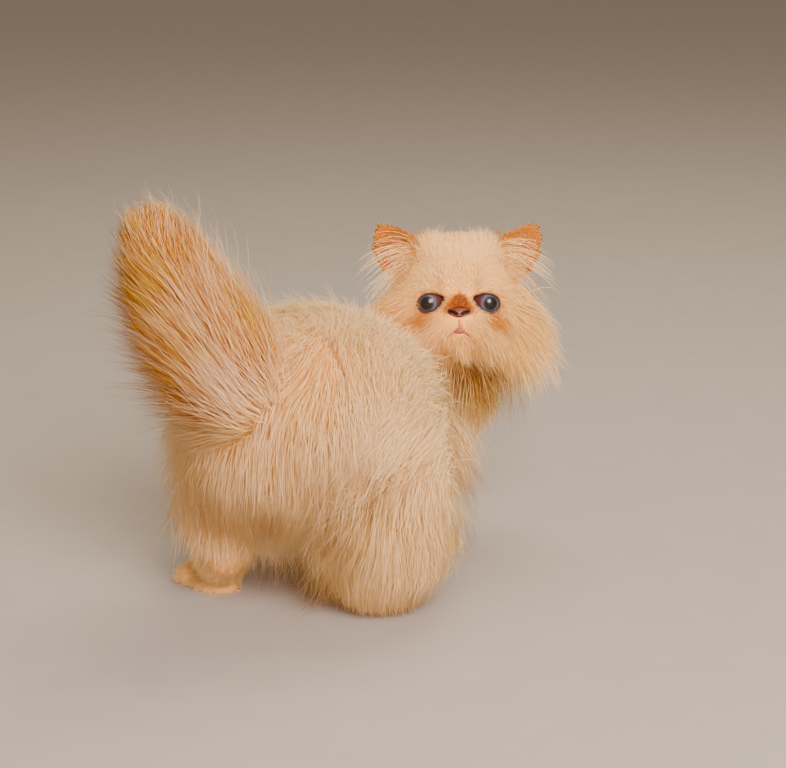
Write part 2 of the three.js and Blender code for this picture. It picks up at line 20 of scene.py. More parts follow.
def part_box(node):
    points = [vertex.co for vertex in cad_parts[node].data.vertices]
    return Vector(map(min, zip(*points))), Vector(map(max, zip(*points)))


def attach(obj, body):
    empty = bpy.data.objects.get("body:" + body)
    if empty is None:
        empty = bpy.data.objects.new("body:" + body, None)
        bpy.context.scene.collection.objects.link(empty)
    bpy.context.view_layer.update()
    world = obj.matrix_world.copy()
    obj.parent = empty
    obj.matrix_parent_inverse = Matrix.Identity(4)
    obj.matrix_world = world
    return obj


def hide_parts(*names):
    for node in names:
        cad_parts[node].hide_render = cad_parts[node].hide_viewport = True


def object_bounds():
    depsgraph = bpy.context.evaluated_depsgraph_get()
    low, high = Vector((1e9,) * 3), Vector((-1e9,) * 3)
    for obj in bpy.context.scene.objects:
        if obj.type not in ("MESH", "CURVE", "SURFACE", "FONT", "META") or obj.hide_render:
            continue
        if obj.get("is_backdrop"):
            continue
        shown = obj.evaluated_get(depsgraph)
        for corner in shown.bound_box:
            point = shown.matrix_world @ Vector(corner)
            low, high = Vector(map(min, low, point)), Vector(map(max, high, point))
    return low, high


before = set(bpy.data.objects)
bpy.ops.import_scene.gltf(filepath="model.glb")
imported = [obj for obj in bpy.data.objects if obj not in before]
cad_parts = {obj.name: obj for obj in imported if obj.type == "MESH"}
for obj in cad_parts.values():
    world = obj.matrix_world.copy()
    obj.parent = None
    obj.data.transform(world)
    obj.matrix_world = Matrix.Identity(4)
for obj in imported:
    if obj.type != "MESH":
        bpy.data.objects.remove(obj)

LOG = logging.getLogger("kitten")
MM = 0.001
BODY = "root"
UV_NAME = "OFBake"

# How wide a tuft's patch is on the skin's bake map, and how many triangles a piece may have.
TUFT_PATCH = 0.003
PIECE_LIMIT = 190_000

# How far the coat stays above the floor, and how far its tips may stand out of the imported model's
# box: a share of the box and some millimetres more.
FLOOR_CLEARANCE = 0.4
LOWEST = 0.05
BOX_SHARE = 0.025
BOX_MARGIN = 8.0

# Shares of the coat's depth, from the bare skin, 0, to the hair tips, 1: where the skin's mesh
# lies, and how deep inside another part a tuft's root may be before the tuft is left out.
SKIN_SHARE = 0.28
ROOT_SHARE = 0.14

# How far the shading of a tuft follows the coat rather than its own sides, how much it is twisted
# at most, in radians, and how thick it is for its half-width.
SOFTNESS = 0.92
TWIST = 0.35
THICKNESS = 0.55

# Everything further ahead than this in the head's frame is the front of the face.
FACE_FRONT = 8

Array = np.ndarray
Number = Union[int, float]


def vec(x: Number, y: Number, z: Number) -> Array:
    """A point or direction as an array."""
    return np.array([x, y, z], float)


def unit(a: Array) -> Array:
    """Directions of length 1, along the last axis."""
    return a / np.maximum(np.linalg.norm(a, axis=-1, keepdims=True), 1e-9)


def smoothstep(x: Array, low: float, high: float) -> Array:
    """0 below low and 1 above high, with a smooth rise between."""
    t = np.clip((x - low) / (high - low), 0, 1)
    return t * t * (3 - 2 * t)


def fall(x: Array, low: float, high: float) -> Array:
    """1 below low and 0 above high, with a smooth fall between."""
    return smoothstep(-x, -high, -low)


def mix(a: Array, b: Array, share: Array) -> Array:
    """What lies at that share of the way from a to b."""
    return a + (b - a) * share


def eased(v: Array) -> Array:
    """Shares from 0 to 1 that start and stop slowly."""
    return (1 - np.cos(np.pi * v)) / 2


def along_surface(way: Array, normal: Array) -> Array:
    """The part of directions that runs along a surface with those normals."""
    return way - normal * (way * normal).sum(-1, keepdims=True)


def turned(angle: float) -> Array:
    """The matrix of a turn about the vertical, in radians."""
    c, s = math.cos(angle), math.sin(angle)
    return np.array([[c, -s, 0], [s, c, 0], [0, 0, 1]])


def nearest_guides(root: Array, guides: Array) -> Array:
    """Which of the guide points is nearest to each root."""
    tree = KDTree(len(guides))
    for i, p in enumerate(guides):
        tree.insert(p, i)
    tree.balance()
    return np.array([tree.find(p)[1] for p in root])


def shade(red: int, green: int, blue: int) -> tuple[float, float, float, float]:
    """A colour picked on a screen, 0 to 255, as the linear colour of a socket.

    Args:
        red: Red, 0 to 255.
        green: Green, 0 to 255.
        blue: Blue, 0 to 255.

    Returns:
        The linear colour with full alpha.
    """
    parts = [c / 255 for c in (red, green, blue)]
    linear = [c / 12.92 if c <= 0.04045 else ((c + 0.055) / 1.055) ** 2.4 for c in parts]
    return (*linear, 1.0)


def swirl(points: Array, scale: float, seed: int) -> Array:
    """A smooth, seeded field of directions, as of a coat that was never combed.

    Args:
        points: Where it is wanted, in millimetres.
        scale: The size of its waves, in millimetres.
        seed: Picks the field.

    Returns:
        A vector for each point, each part of it within about 1.
    """
    rng = np.random.default_rng(seed)
    waves = rng.normal(size=(3, 4, 3)) / scale
    shifts = rng.uniform(0, math.tau, (3, 4))
    return np.stack([np.sin(points @ w.T + s).mean(-1) * 1.6 for w, s in zip(waves, shifts)], -1)


class Line:
    """A smooth curve through points, each as far along it as the next."""

    def __init__(self, points: Array) -> None:
        """Takes the points, one a row."""
        p = np.asarray(points, float)
        self.spans = len(p) - 1
        self.points = np.vstack([2 * p[0] - p[1], p, 2 * p[-1] - p[-2]])

    def at(self, t: Array) -> Array:
        """The points at shares t of the curve."""
        u = np.clip(t, 0, 1) * self.spans
        i = np.minimum(u.astype(int), self.spans - 1)
        w = (u - i)[..., None]
        before, start, end, after = (self.points[i + k] for k in range(4))
        leave, arrive = (end - before) / 2, (after - start) / 2
        turn = -3 * start + 3 * end - 2 * leave - arrive
        bend = 2 * start - 2 * end + leave + arrive
        return start + leave * w + turn * w**2 + bend * w**3

    def tangent(self, t: Array) -> Array:
        """The directions along it at t."""
        return unit(self.at(np.minimum(t + 1e-4, 1)) - self.at(np.maximum(t - 1e-4, 0)))


@dataclass
class Form:
    """A bare mesh: its corners and its faces."""

    corners: Array
    faces: list[tuple[int, ...]]

    def moved(self, place: Callable[[Array], Array]) -> "Form":
        """The same faces with every corner moved."""
        return Form(place(self.corners), self.faces)


def ball_form(around: int, along: int, place: Callable[[Array, Array], Array]) -> Form:
    """A closed form of rings and two poles.

    Args:
        around: Corners in a ring.
        along: Bands from pole to pole.
        place: Gives the corners from v, 0 to 1 from pole to pole, and the angle round it.

    Returns:
        The form.
    """
    v = np.repeat(np.arange(1, along) / along, around)
    angle = np.tile(np.arange(around) / around * math.tau, along - 1)
    zero, one = np.zeros(1), np.ones(1)
    corners = np.vstack([place(zero, zero), place(v, angle), place(one, zero)])
    last = len(corners) - 1
    faces: list[tuple[int, ...]] = []
    for i in range(around):
        j = (i + 1) % around
        faces.append((0, 1 + j, 1 + i))
        faces.append((last, last - around + i, last - around + j))
        for r in range(along - 2):
            a, b = 1 + r * around, 1 + (r + 1) * around
            faces.append((a + i, a + j, b + j, b + i))
    return Form(corners, faces)


def together(forms: list[Form]) -> Form:
    """Several forms as one bare mesh."""
    faces: list[tuple[int, ...]] = []
    start = 0
    for form in forms:
        faces += [tuple(start + c for c in f) for f in form.faces]
        start += len(form.corners)
    return Form(np.vstack([f.corners for f in forms]), faces)


class Coated:
    """A part of the body with a coat, from its skin, share 0, to its hair tips, share 1."""

    def surface(self, v: Array, angle: Array, share: Array) -> Array:
        """Points of it, v along it, angle round it and share out through its coat."""
        raise NotImplementedError

    def covers(self, points: Array, share: float = SKIN_SHARE) -> Array:
        """Whether each point lies inside it."""
        raise NotImplementedError

    def form(self, around: int, along: int, share: float) -> Form:
        """It as a closed form."""
        return ball_form(around, along, lambda v, a: self.surface(v, a, np.full(len(v), share)))

    def slopes(self, v: Array, angle: Array, share: float = 0.5) -> tuple[Array, Array, Array]:
        """How it runs at (v, angle): its change with v and with the angle, and its normal."""
        nudge, s = 1e-3, np.full(len(v), share)
        at = self.surface(v, angle, s)
        by_v = (self.surface(v + nudge, angle, s) - at) / nudge
        by_angle = (self.surface(v, angle + nudge, s) - at) / nudge
        return by_v, by_angle, unit(np.cross(by_v, by_angle))

    def walk(
        self, v: Array, angle: Array, steps: Array, lie: Callable[[Array], Array]
    ) -> list[tuple[Array, Array, Array]]:
        """Walks over the coat along its lie.

        Args:
            v: Where each walk starts, along the part.
            angle: Where it starts, round the part.
            steps: The length of each step of each walk, one row a step.
            lie: Gives the way that the hair lies at points.

        Returns:
            The v, angle and normal of all walks, at the start and after each step.
        """
        places = [(v, angle, self.slopes(v, angle)[2])]
        for length in steps:
            by_v, by_angle, normal = self.slopes(v, angle)
            want = lie(self.surface(v, angle, np.full(len(v), 0.5)))
            want = unit(along_surface(want, normal)) * length[:, None]
            pairs = ((by_v, by_v), (by_v, by_angle), (by_angle, by_angle))
            vv, va, aa = ((a * b).sum(-1) for a, b in pairs)
            scale = np.maximum(vv * aa - va * va, 1e-6)
            on_v, on_angle = (want * by_v).sum(-1), (want * by_angle).sum(-1)
            v = np.clip(v + (on_v * aa - on_angle * va) / scale, 0.02, 0.98)
            angle = angle + np.clip((on_angle * vv - on_v * va) / scale, -0.6, 0.6)
            places.append((v, angle, self.slopes(v, angle)[2]))
        return places

    def scatter(self, count: int, rng: np.random.Generator) -> tuple[Array, Array]:
        """Places strewn evenly over it.

        Args:
            count: About how many.
            rng: The seeded source of chance.

        Returns:
            Their v and angle.
        """
        v, angle = rng.uniform(0.015, 0.985, count * 6), rng.uniform(0, math.tau, count * 6)
        by_v, by_angle, _ = self.slopes(v, angle, SKIN_SHARE)
        area = np.linalg.norm(np.cross(by_v, by_angle), axis=-1)
        chosen = rng.choice(len(v), count, replace=False, p=area / area.sum())
        return v[chosen], angle[chosen]


class Limb(Coated):
    """An ellipse swept along a curve, its ends rounded."""

    def __init__(
        self,
        stations: tuple[tuple[float, ...], ...],
        up: Array,
        fullness: float = 0.55,
        egg: float = 0,
        thin_top: float = 0,
    ) -> None:
        """Takes its stations and how they are joined.

        Args:
            stations: Rows of x, y, z, half-width, half-height and depth of the coat.
            up: The way that its upper side faces.
            fullness: How blunt its ends are, blunter for less.
            egg: How much narrower it is above than below.
            thin_top: How much thinner its coat is above.
        """
        rows = np.array(stations, float)
        self.line, self.sizes = Line(rows[:, :3]), Line(rows[:, 3:])
        self.up, self.fullness, self.egg, self.thin_top = up, fullness, egg, thin_top

    def frames(self, t: Array) -> tuple[Array, Array, Array, Array]:
        """Its centre, the way ahead, its side and its upper side at shares t."""
        ahead = self.line.tangent(t)
        side = unit(np.cross(ahead, self.up))
        return self.line.at(t), ahead, side, np.cross(side, ahead)

    def surface(self, v: Array, angle: Array, share: Array) -> Array:
        """Points of it, v along it, angle round it and share out through its coat."""
        v = np.asarray(v, float)
        t = eased(v)
        centre, ahead, side, rise = self.frames(t)
        wide, high, deep = self.sizes.at(t).T
        swell = np.maximum(np.sin(np.pi * v), 0) ** self.fullness
        c, s = np.cos(angle), np.sin(angle)
        grow = deep * (1 - self.thin_top * s) * share
        across = c * (wide * (1 - self.egg * s) + grow) * swell
        upward = s * (high + grow) * swell
        forward = -grow * np.cos(np.pi * v)
        return centre + side * across[:, None] + rise * upward[:, None] + ahead * forward[:, None]

    def nearest(self, points: Array, slices: int = 40) -> Array:
        """The share of its line nearest to each point."""
        t = np.linspace(0, 1, slices)
        gaps = np.linalg.norm(points[:, None] - self.line.at(t)[None], axis=-1)
        return t[gaps.argmin(1)]

    def covers(self, points: Array, share: float = SKIN_SHARE) -> Array:
        """Whether each point lies inside it."""
        inside = np.zeros(len(points), bool)
        slices = 28
        for t in np.arange(1, slices) / slices:
            centre, ahead, side, rise = (x[0] for x in self.frames(np.array([t])))
            wide, high, deep = self.sizes.at(np.array([t]))[0]
            off = points - centre
            swell = math.sin(math.acos(1 - 2 * t)) ** self.fullness
            out = np.hypot(off @ side / (wide + deep * share), off @ rise / (high + deep * share))
            inside |= (np.abs(off @ ahead) < 5) & (out < swell * 0.97)
        return inside


@dataclass(frozen=True)
class Swelling:
    """A rise or hollow of the face: its place, how far it stands out and how wide it spreads."""

    at: tuple[float, float, float]
    rise: float
    spread: float
    pair: bool = False


@dataclass
class Head(Coated):
    """The head in its own frame: its face looks along +Y and its right side is +X."""

    at: tuple[float, float, float] = (46, 105, 132.5)
    half: tuple[float, float, float] = (27, 25, 29)
    yaw: float = -160
    pitch: float = 10
    face_fur: float = 1.5
    crown_fur: float = 8
    cheek_fur: float = 17
    swellings: tuple[Swelling, ...] = (
        Swelling((6.5, 24, -12.5), 5, 5.2, True),
        Swelling((0, 22, -21), 4.5, 6),
        Swelling((0, 25, -4), 2, 4.5),
        Swelling((0, 24, 6), -1.4, 5),
        Swelling((8.5, 23, 1), -3, 3.6, True),
        Swelling((21.5, 16, 0), 3, 4.5, True),
        Swelling((12, 22, 11), 1.6, 8, True),
        Swelling((22, 12, -13), 3.5, 12, True),
        Swelling((14, 22, -9.5), -1.2, 4, True),
    )

    def __post_init__(self) -> None:
        """Works out its turn and where its swellings sit."""
        a, b = math.radians(self.yaw), math.radians(self.pitch)
        tilt = np.array([[1, 0, 0], [0, math.cos(b), -math.sin(b)], [0, math.sin(b), math.cos(b)]])
        self.turn = turned(a) @ tilt
        self.bumps: list[tuple[Array, float, float]] = []
        for s in self.swellings:
            for side in (1, -1) if s.pair else (1,):
                at = vec(*s.at) * vec(side, 1, 1)
                self.bumps.append((at / np.linalg.norm(at / vec(*self.half)), s.rise, s.spread))

    def placed(self, points: Array) -> Array:
        """Points of its own frame in the cat's."""
        return np.asarray(points, float) @ self.turn.T + vec(*self.at)

    def local(self, points: Array) -> Array:
        """Points of the cat's frame in its own."""
        return (np.asarray(points, float) - vec(*self.at)) @ self.turn

    def fur(self, towards: Array) -> Array:
        """The depth of the coat: short on the face, longer on the crown, long over the cheeks."""
        face = smoothstep(towards[..., 1], 0.3, 0.8)
        low = fall(towards[..., 2], -0.5, 0.3)
        return mix(mix(self.crown_fur, self.cheek_fur, low), self.face_fur, face)

    def radius(self, towards: Array, share: Array) -> Array:
        """How far its surface lies from its middle."""
        bare = 1 / np.linalg.norm(towards / vec(*self.half), axis=-1)
        at = towards * bare[..., None]
        for place, rise, spread in self.bumps:
            bare = bare + rise * np.exp(-((at - place) ** 2).sum(-1) / (2 * spread**2))
        return bare + self.fur(towards) * share

    def surface(self, v: Array, angle: Array, share: Array) -> Array:
        """Points of it, v from the back of the head to the face, angle round the gaze."""
        turn = np.pi * np.maximum(1 - np.asarray(v, float), 0) ** 1.25
        out = np.sin(turn)
        towards = np.stack([out * np.cos(angle), np.cos(turn), out * np.sin(angle)], -1)
        return self.placed(towards * self.radius(towards, share)[:, None])

    def face(self, x: Array, z: Array, share: float = SKIN_SHARE, lift: float = 0) -> Array:
        """The points of the face in front of (x, z), in its own frame."""
        x, z = np.broadcast_arrays(np.asarray(x, float), np.asarray(z, float))
        y = np.full(x.shape, float(self.half[1]))
        for _ in range(8):
            r = self.radius(unit(np.stack([x, y, z], -1)), share) + lift
            y = np.sqrt(np.maximum(r * r - x * x - z * z, 0))
        return np.stack([x, y, z], -1)

    def covers(self, points: Array, share: float = SKIN_SHARE) -> Array:
        """Whether each point lies inside it."""
        local = self.local(points)
        return np.linalg.norm(local, axis=-1) < self.radius(unit(local), share) * 0.97


UP, AHEAD = vec(0, 0, 1), vec(0, 1, 0)


def limb(*stations: tuple[float, ...], up: Array = AHEAD, **shape: float) -> Limb:
    """A dataclass field that holds a limb of those stations, its upper side facing up."""
    return field(default_factory=lambda: Limb(stations, up, **shape))


@dataclass
class Kitten:
    """The cat's own shapes, from which its skin and its coat are made.

    The stations of its limbs are rows of x, y, z, half-width, half-height and depth of the coat.
    """

    torso: Limb = limb(
        (-1, -30, 67, 18, 17, 14),
        (-3, -22, 90, 34, 28, 21),
        (-1, 8, 98, 38, 33, 22),
        (3, 40, 90, 40, 33, 24),
        (13, 70, 75, 33, 28, 23),
        (38, 90, 70, 25, 24, 22),
        up=UP,
        fullness=0.5,
        egg=0.12,
        thin_top=0.3,
    )
    neck: Limb = limb(
        (28, 84, 82, 24, 24, 20),
        (38, 104, 102, 20, 20, 26),
        (44, 114, 122, 17, 17, 24),
    )
    tail: Limb = limb(
        (-3, -36, 100, 8, 8, 23),
        (-16, -43, 124, 8, 8, 27),
        (-37, -42, 152, 7, 7, 23),
        (-57, -37, 185, 5, 5, 15),
        up=-AHEAD,
    )
    hind_left: Limb = limb(
        (-20, -6, 92, 23, 28, 18),
        (-31, 8, 66, 21, 26, 20),
        (-37, 2, 43, 14, 17, 19),
        (-35, -9, 27, 9, 10, 19),
        (-42, -3, 9, 8, 9, 7),
    )
    hind_right: Limb = limb(
        (22, -6, 92, 24, 29, 20),
        (37, 14, 66, 22, 27, 24),
        (41, 8, 42, 15, 18, 26),
        (39, 4, 27, 10, 11, 24),
        (39, 14, 11, 8, 9, 14),
    )
    fore_left: Limb = limb(
        (12, 92, 72, 16, 19, 18),
        (7, 98, 50, 12, 13, 13),
        (5, 100, 25, 8, 8, 7),
        (5, 100, 8, 8, 8, 3),
    )
    fore_right: Limb = limb(
        (36, 76, 72, 16, 19, 18),
        (36, 78, 50, 12, 13, 13),
        (36, 78, 25, 8, 8, 7),
        (37, 79, 8, 8, 8, 3),
    )
    head: Head = field(default_factory=Head)

    def parts(self) -> dict[str, Coated]:
        """All its coated parts by name."""
        return {part.name: getattr(self, part.name) for part in fields(self)}


@dataclass(frozen=True)
class Paw:
    """A pad and its toes, resting on the floor."""

    at: tuple[float, float]
    heading: float
    half: tuple[float, float, float]
    toe: tuple[float, float, float] = (4.4, 6, 5)
    across: tuple[float, ...] = (-0.72, -0.25, 0.25, 0.72)
    fur_top: float = 22

    def placed(self, points: Array) -> Array:
        """Points of its own frame in the cat's."""
        moved = points @ turned(-math.radians(self.heading)) + vec(*self.at, 0)
        moved[:, 2] = np.maximum(moved[:, 2], 0.02)
        return moved

    def beside(self, points: Array) -> Array:
        """How far each point of the cat's frame is from above its middle."""
        return np.linalg.norm(points[:, :2] - np.array(self.at), axis=-1)

    def lie(self) -> Array:
        """The way that its fur lies: ahead and down."""
        a = math.radians(self.heading)
        return vec(-math.sin(a), math.cos(a), -0.7)

    def forms(self) -> list[Form]:
        """The pad and each toe as closed forms."""
        pieces = [self.egg(vec(*self.half), vec(0, 0, 0), 0)]
        for across in self.across:
            forward = self.half[1] * (0.85 - 0.3 * across**2)
            at = vec(across * self.half[0], forward, self.toe[2] * 0.7)
            pieces.append(self.egg(vec(*self.toe), at, -across * 0.35))
        return pieces

    def egg(self, half: Array, at: Array, turn: float) -> Form:
        """An egg of that half-size, turned and moved, on the floor."""
        c, s = math.cos(turn), math.sin(turn)

        def place(v: Array, angle: Array) -> Array:
            ring = np.sin(np.pi * v)
            p = np.stack([ring * np.cos(angle), -np.cos(np.pi * v), ring * np.sin(angle)], -1)
            x, y, z = (p * half).T
            return self.placed(np.stack([x * c - y * s, x * s + y * c, z], -1) + at)

        return ball_form(20, 14, place)


@dataclass(frozen=True)
class Ear:
    """A cupped leaf on the head, in the head's frame, for the cat's right side (1) or left (-1)."""

    side: int
    base: tuple[float, float, float] = (24, -3, 17)
    tip: tuple[float, float, float] = (40.5, 1, 38.5)
    wide: float = 12.5
    cup: float = 7.5
    wall: float = 1.3
    leaf: tuple[tuple[float, float], ...] = (
        (-0.25, 0.85),
        (0.25, 1),
        (0.55, 0.85),
        (0.82, 0.5),
        (1, 0.12),
    )

    def axes(self) -> tuple[Array, Array, Array, Array]:
        """Its base, the way to its tip, the way to its outer edge, and the way its cup faces."""
        mirror = vec(self.side, 1, 1)
        base, tip = vec(*self.base) * mirror, vec(*self.tip) * mirror
        front = unit(vec(0.3 * self.side, 1, 0.05))
        across = unit(np.cross(front, tip - base)) * self.side
        return base, tip - base, across, front

    def sheet(self, across: Array, t: Array, lift: float = 0) -> Array:
        """Points of its middle sheet.

        Args:
            across: The places across it, -1 to 1.
            t: The places from its base, 0, to its tip, 1.
            lift: How far forward they are lifted.

        Returns:
            The points, in the head's frame.
        """
        base, up, side, front = self.axes()
        stops = np.array(self.leaf)
        wide = self.wide * np.interp(t, stops[:, 0], stops[:, 1])
        deep = self.cup * (1 - np.clip(t, 0, 1) * 0.75) * (across**2 - 0.75)
        flat = base + up * t[..., None] + side * (across * wide)[..., None]
        return flat + front * (deep + lift + 3.5)[..., None]

    def share_up(self, local: Array) -> Array:
        """How far up it each point of the head's frame is, from its base, 0, to its tip, 1."""
        base, up, _, _ = self.axes()
        return (local - base) @ up / (up @ up)

    def form(self) -> Form:
        """It as a closed shell."""

        def place(v: Array, angle: Array) -> Array:
            ring = np.sin(np.pi * v) ** 0.35
            t = mix(-0.2, 0.95, eased(v))
            thick = self.wall * np.sin(angle) * ring
            flat = self.sheet(np.cos(angle) * ring, t)
            return flat + self.axes()[3] * thick[:, None]

        return ball_form(28, 18, place)


@dataclass(frozen=True)
class Eye:
    """An eye in the head's frame, for the cat's right side (1) or left (-1)."""

    side: int
    at: tuple[float, float, float] = (14.1, 14.2, -1)
    radius: float = 8.5
    bulge: float = 0.7
    gaze: float = 14
    open_half: tuple[float, float] = (6.9, 4.4)
    iris: float = 0.6
    pupil: float = 0.37

    def middle(self) -> Array:
        """Its centre."""
        return vec(*self.at) * vec(self.side, 1, 1)

    def globe(self, around: int, along: int) -> Form:
        """Its ball, the clear front bulging where it gazes."""
        turn = turned(-math.radians(self.gaze) * self.side)

        def place(v: Array, angle: Array) -> Array:
            off = np.pi * (1 - v)
            r = self.radius + self.bulge * np.exp(-((off / 0.5) ** 2))
            out = np.sin(off)
            p = np.stack([out * np.cos(angle), np.cos(off), out * np.sin(angle)], -1)
            return (p * r[:, None]) @ turn.T + self.middle()

        return ball_form(around, along, place)

    def off_gaze(self, points: Array) -> Array:
        """How far each point of the ball lies off its gaze, in radians."""
        a = math.radians(self.gaze) * self.side
        ahead = vec(math.sin(a), math.cos(a), 0)
        return np.arccos(np.clip(unit(points - self.middle()) @ ahead, -1, 1))

    def lids(self, count: int) -> tuple[Array, Array]:
        """The edges of the upper and the lower lid as (across, up) from its centre."""
        x, z = self.open_half
        inner, outer = np.array([-x * self.side, 0.62 * z]), np.array([x * self.side, -0.12 * z])

        def bezier(a: Array, b: Array, c: Array, d: Array) -> Array:
            t = np.linspace(0, 1, count)[:, None]
            return a * (1 - t) ** 3 + b * 3 * t * (1 - t) ** 2 + c * 3 * t**2 * (1 - t) + d * t**3

        def point(across: float, up: float) -> Array:
            return np.array([across * x * self.side, up * z])

        return (
            bezier(inner, point(-0.45, 1.35), point(0.85, 1.45), outer),
            bezier(outer, point(0.95, -1.5), point(-0.6, -1.35), inner),
        )

    def opening(self, points: Array) -> Array:
        """How far each point, in the head's frame, lies inside the opening, negative outside it."""
        upper, lower = self.lids(24)
        edge = np.vstack([upper, lower[1:-1]])
        p = points[:, (0, 2)] - self.middle()[[0, 2]]
        nxt = np.roll(edge, -1, 0)
        x, z = p[:, None, 0], p[:, None, 1]
        rise = nxt[:, 1] - edge[:, 1]
        slope = (nxt[:, 0] - edge[:, 0]) / np.where(rise == 0, 1e-9, rise)
        crossing = (edge[:, 1] > z) != (nxt[:, 1] > z)
        inside = (crossing & (x < edge[:, 0] + (z - edge[:, 1]) * slope)).sum(1) % 2 == 1
        gap = np.linalg.norm(p[:, None] - edge[None], axis=-1).min(1)
        return np.where(inside, gap, -gap)


class Frame:
    """Carries millimetres in the cat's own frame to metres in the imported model's."""

    def __init__(self, head: Head) -> None:
        """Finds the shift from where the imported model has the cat's left eye."""
        self.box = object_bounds()
        eye = head.placed(Eye(-1).globe(12, 8).corners)
        low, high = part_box("eye_left")
        middle = (np.array(low) + np.array(high)) / 2 / MM
        self.shift = middle - (eye.min(0) + eye.max(0)) / 2
        self.shift[2] = 0

    def metres(self, points: Array) -> Array:
        """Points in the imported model's frame."""
        return (points + self.shift) * MM

    def inverse(self, points: Array) -> Array:
        """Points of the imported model's frame in the cat's own, in millimetres."""
        return points / MM - self.shift

    def within(self, lines: Array) -> Array:
        """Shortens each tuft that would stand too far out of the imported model's box.

        Args:
            lines: The line of each tuft, from its root.

        Returns:
            The lines, inside the box and its margin.
        """
        low, high = (self.inverse(np.array(corner)) for corner in self.box)
        margin = (high - low) * BOX_SHARE + BOX_MARGIN
        root = lines[:, :1]
        way = lines - root
        room = np.where(way > 0, high + margin - root, root - low + margin)
        share = np.clip(room / np.maximum(np.abs(way), 1e-6), 0, 1).min((1, 2))
        return root + way * share[:, None, None]


@dataclass(frozen=True)
class Patch:
    """A soft-edged patch of colour: its middle, its spread each way and its strength."""

    at: tuple[float, float, float]
    spread: tuple[float, float, float]
    strength: float
    pair: bool = False

    def over(self, points: Array) -> Array:
        """Its strength at points."""
        found = np.zeros(len(points))
        for side in (1, -1) if self.pair else (1,):
            off = (points - vec(*self.at) * vec(side, 1, 1)) / vec(*self.spread)
            found = np.maximum(found, self.strength * np.exp(-(off**2).sum(-1) / 2))
        return found


@dataclass
class Markings:
    """A flame point's colours: flame on ears, nose and tail, the stains of light fur, and painted
    shadow under the chin.
    """

    kitten: Kitten
    face_flame: tuple[Patch, ...] = (
        Patch((18.6, 19, -9.2), (4.2, 9, 2.8), 0.72, True),
        Patch((22, 6, 25), (5.0, 14, 6), 0.5, True),
        Patch((27, 5, 6), (6, 12, 8), 0.35, True),
        Patch((8, 25, -18), (6, 8, 4.5), 0.4, True),
    )
    face_stain: tuple[Patch, ...] = (
        # Under the chin and down the throat: painted shadow, brown where the chin shades the
        # throat.
        Patch((6, 12, -31.5), (17, 9, 5.0), 1.7),
        Patch((7, 0, -42), (16, 14, 8), 1.3),
        Patch((7, 26, -4), (2, 7, 2.0), 0.5, True),
        Patch((9.4, 24, 7.5), (1.3, 9, 4.2), 0.45, True),
    )
    body_flame: tuple[Patch, ...] = (
        Patch((-6, -34, 104), (22, 20, 18), 0.3),
        Patch((2, 14, 136), (28, 36, 14), 0.16),
        Patch((22, -38, 76), (14, 16, 18), 0.1),
        Patch((-38, -10, 50), (16, 20, 30), 0.13),
    )
    body_stain: tuple[Patch, ...] = (
        Patch((-1, -44, 58), (3.0, 12, 11), 0.75),
        Patch((-50, -6, 10), (6, 6, 6), 0.35),
        Patch((-58, 8, 2), (7, 9, 3), 0.22),
        Patch((44, 36, 3), (10, 10, 6), 0.5),
        Patch((2, 114, 3), (12, 12, 6), 0.4),
        Patch((34, 94, 3), (12, 12, 6), 0.4),
    )

    def at(self, points: Array) -> tuple[Array, Array]:
        """How much flame, and how much stain and painted shadow, the cat has at points of its own
        frame.
        """
        local = self.kitten.head.local(points)
        flame = np.max([p.over(local) for p in self.face_flame], 0)
        # The face's stains, with the painted shadow under the chin.
        stain = np.max([p.over(local) for p in self.face_stain], 0)
        stain = np.maximum(stain, np.max([p.over(points) for p in self.body_stain], 0))
        front = local[:, 1] > FACE_FRONT
        for side in (1, -1):
            base, up, _, _ = Ear(side).axes()
            t = Ear(side).share_up(local)
            off = np.linalg.norm((local - base) - t[:, None] * up, axis=-1)
            on_ear = smoothstep(t, -0.1, 0.3) * fall(off, 13, 19)
            flame = np.maximum(flame, on_ear * 0.72)
            ring = smoothstep(Eye(side).opening(local), -2.2, -0.3)
            stain = np.maximum(stain, 0.75 * ring * front)
        flame = np.maximum(flame, self.bridge(local) * front)
        tail = self.kitten.tail
        t = tail.nearest(points)
        off = np.linalg.norm(points - tail.line.at(t), axis=-1)
        patchy = 0.5 + 0.5 * swirl(points, scale=9, seed=5)[:, 0] * 0.9
        on_tail = smoothstep(t, 0.0, 0.25) * fall(off, 15, 30)
        flame = np.maximum(flame, on_tail * (0.46 + 0.3 * patchy))
        flame = np.maximum(flame, np.max([p.over(points) for p in self.body_flame], 0))
        return np.clip(flame, 0, 1), np.clip(stain, 0, 1)

    def bridge(self, local: Array) -> Array:
        """The rust bell over the bridge of the nose, wide at the nose and round above."""
        x, z = np.abs(local[:, 0]), local[:, 2]
        foot, top, half = -7, 4.4, 6.4
        width = half * np.sqrt(np.clip((top - z) / 7.4, 0, 1))
        bell = smoothstep(width - x, -2.0, 1.6) * smoothstep(z, foot, foot + 2)
        bell = bell * fall(z, top - 2, top + 1)
        return bell * (0.92 + 0.25 * swirl(local, scale=2.2, seed=31)[:, 0])


def linked(name: str, data: bpy.types.ID) -> bpy.types.Object:
    """A new object with that data, in the scene."""
    made = bpy.data.objects.new(name, data)
    bpy.context.scene.collection.objects.link(made)
    return made


def new_mesh(name: str, form: Form, place: Frame) -> bpy.types.Object:
    """A smooth-shaded mesh object of a form.

    Args:
        name: The object's name.
        form: Its corners, in the cat's own frame, and faces.
        place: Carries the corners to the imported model's frame.

    Returns:
        The object, linked to the scene.
    """
    mesh = bpy.data.meshes.new(name)
    mesh.from_pydata(place.metres(form.corners).tolist(), [], form.faces)
    mesh.update()
    mesh.shade_smooth()
    return linked(name, mesh)


def write_values(mesh: bpy.types.Mesh, **values: Array) -> None:
    """Keeps a number for each corner of a mesh under each name."""
    for name, numbers in values.items():
        attribute = mesh.attributes.new(name, "FLOAT", "POINT")
        attribute.data.foreach_set("value", np.asarray(numbers, np.float32))


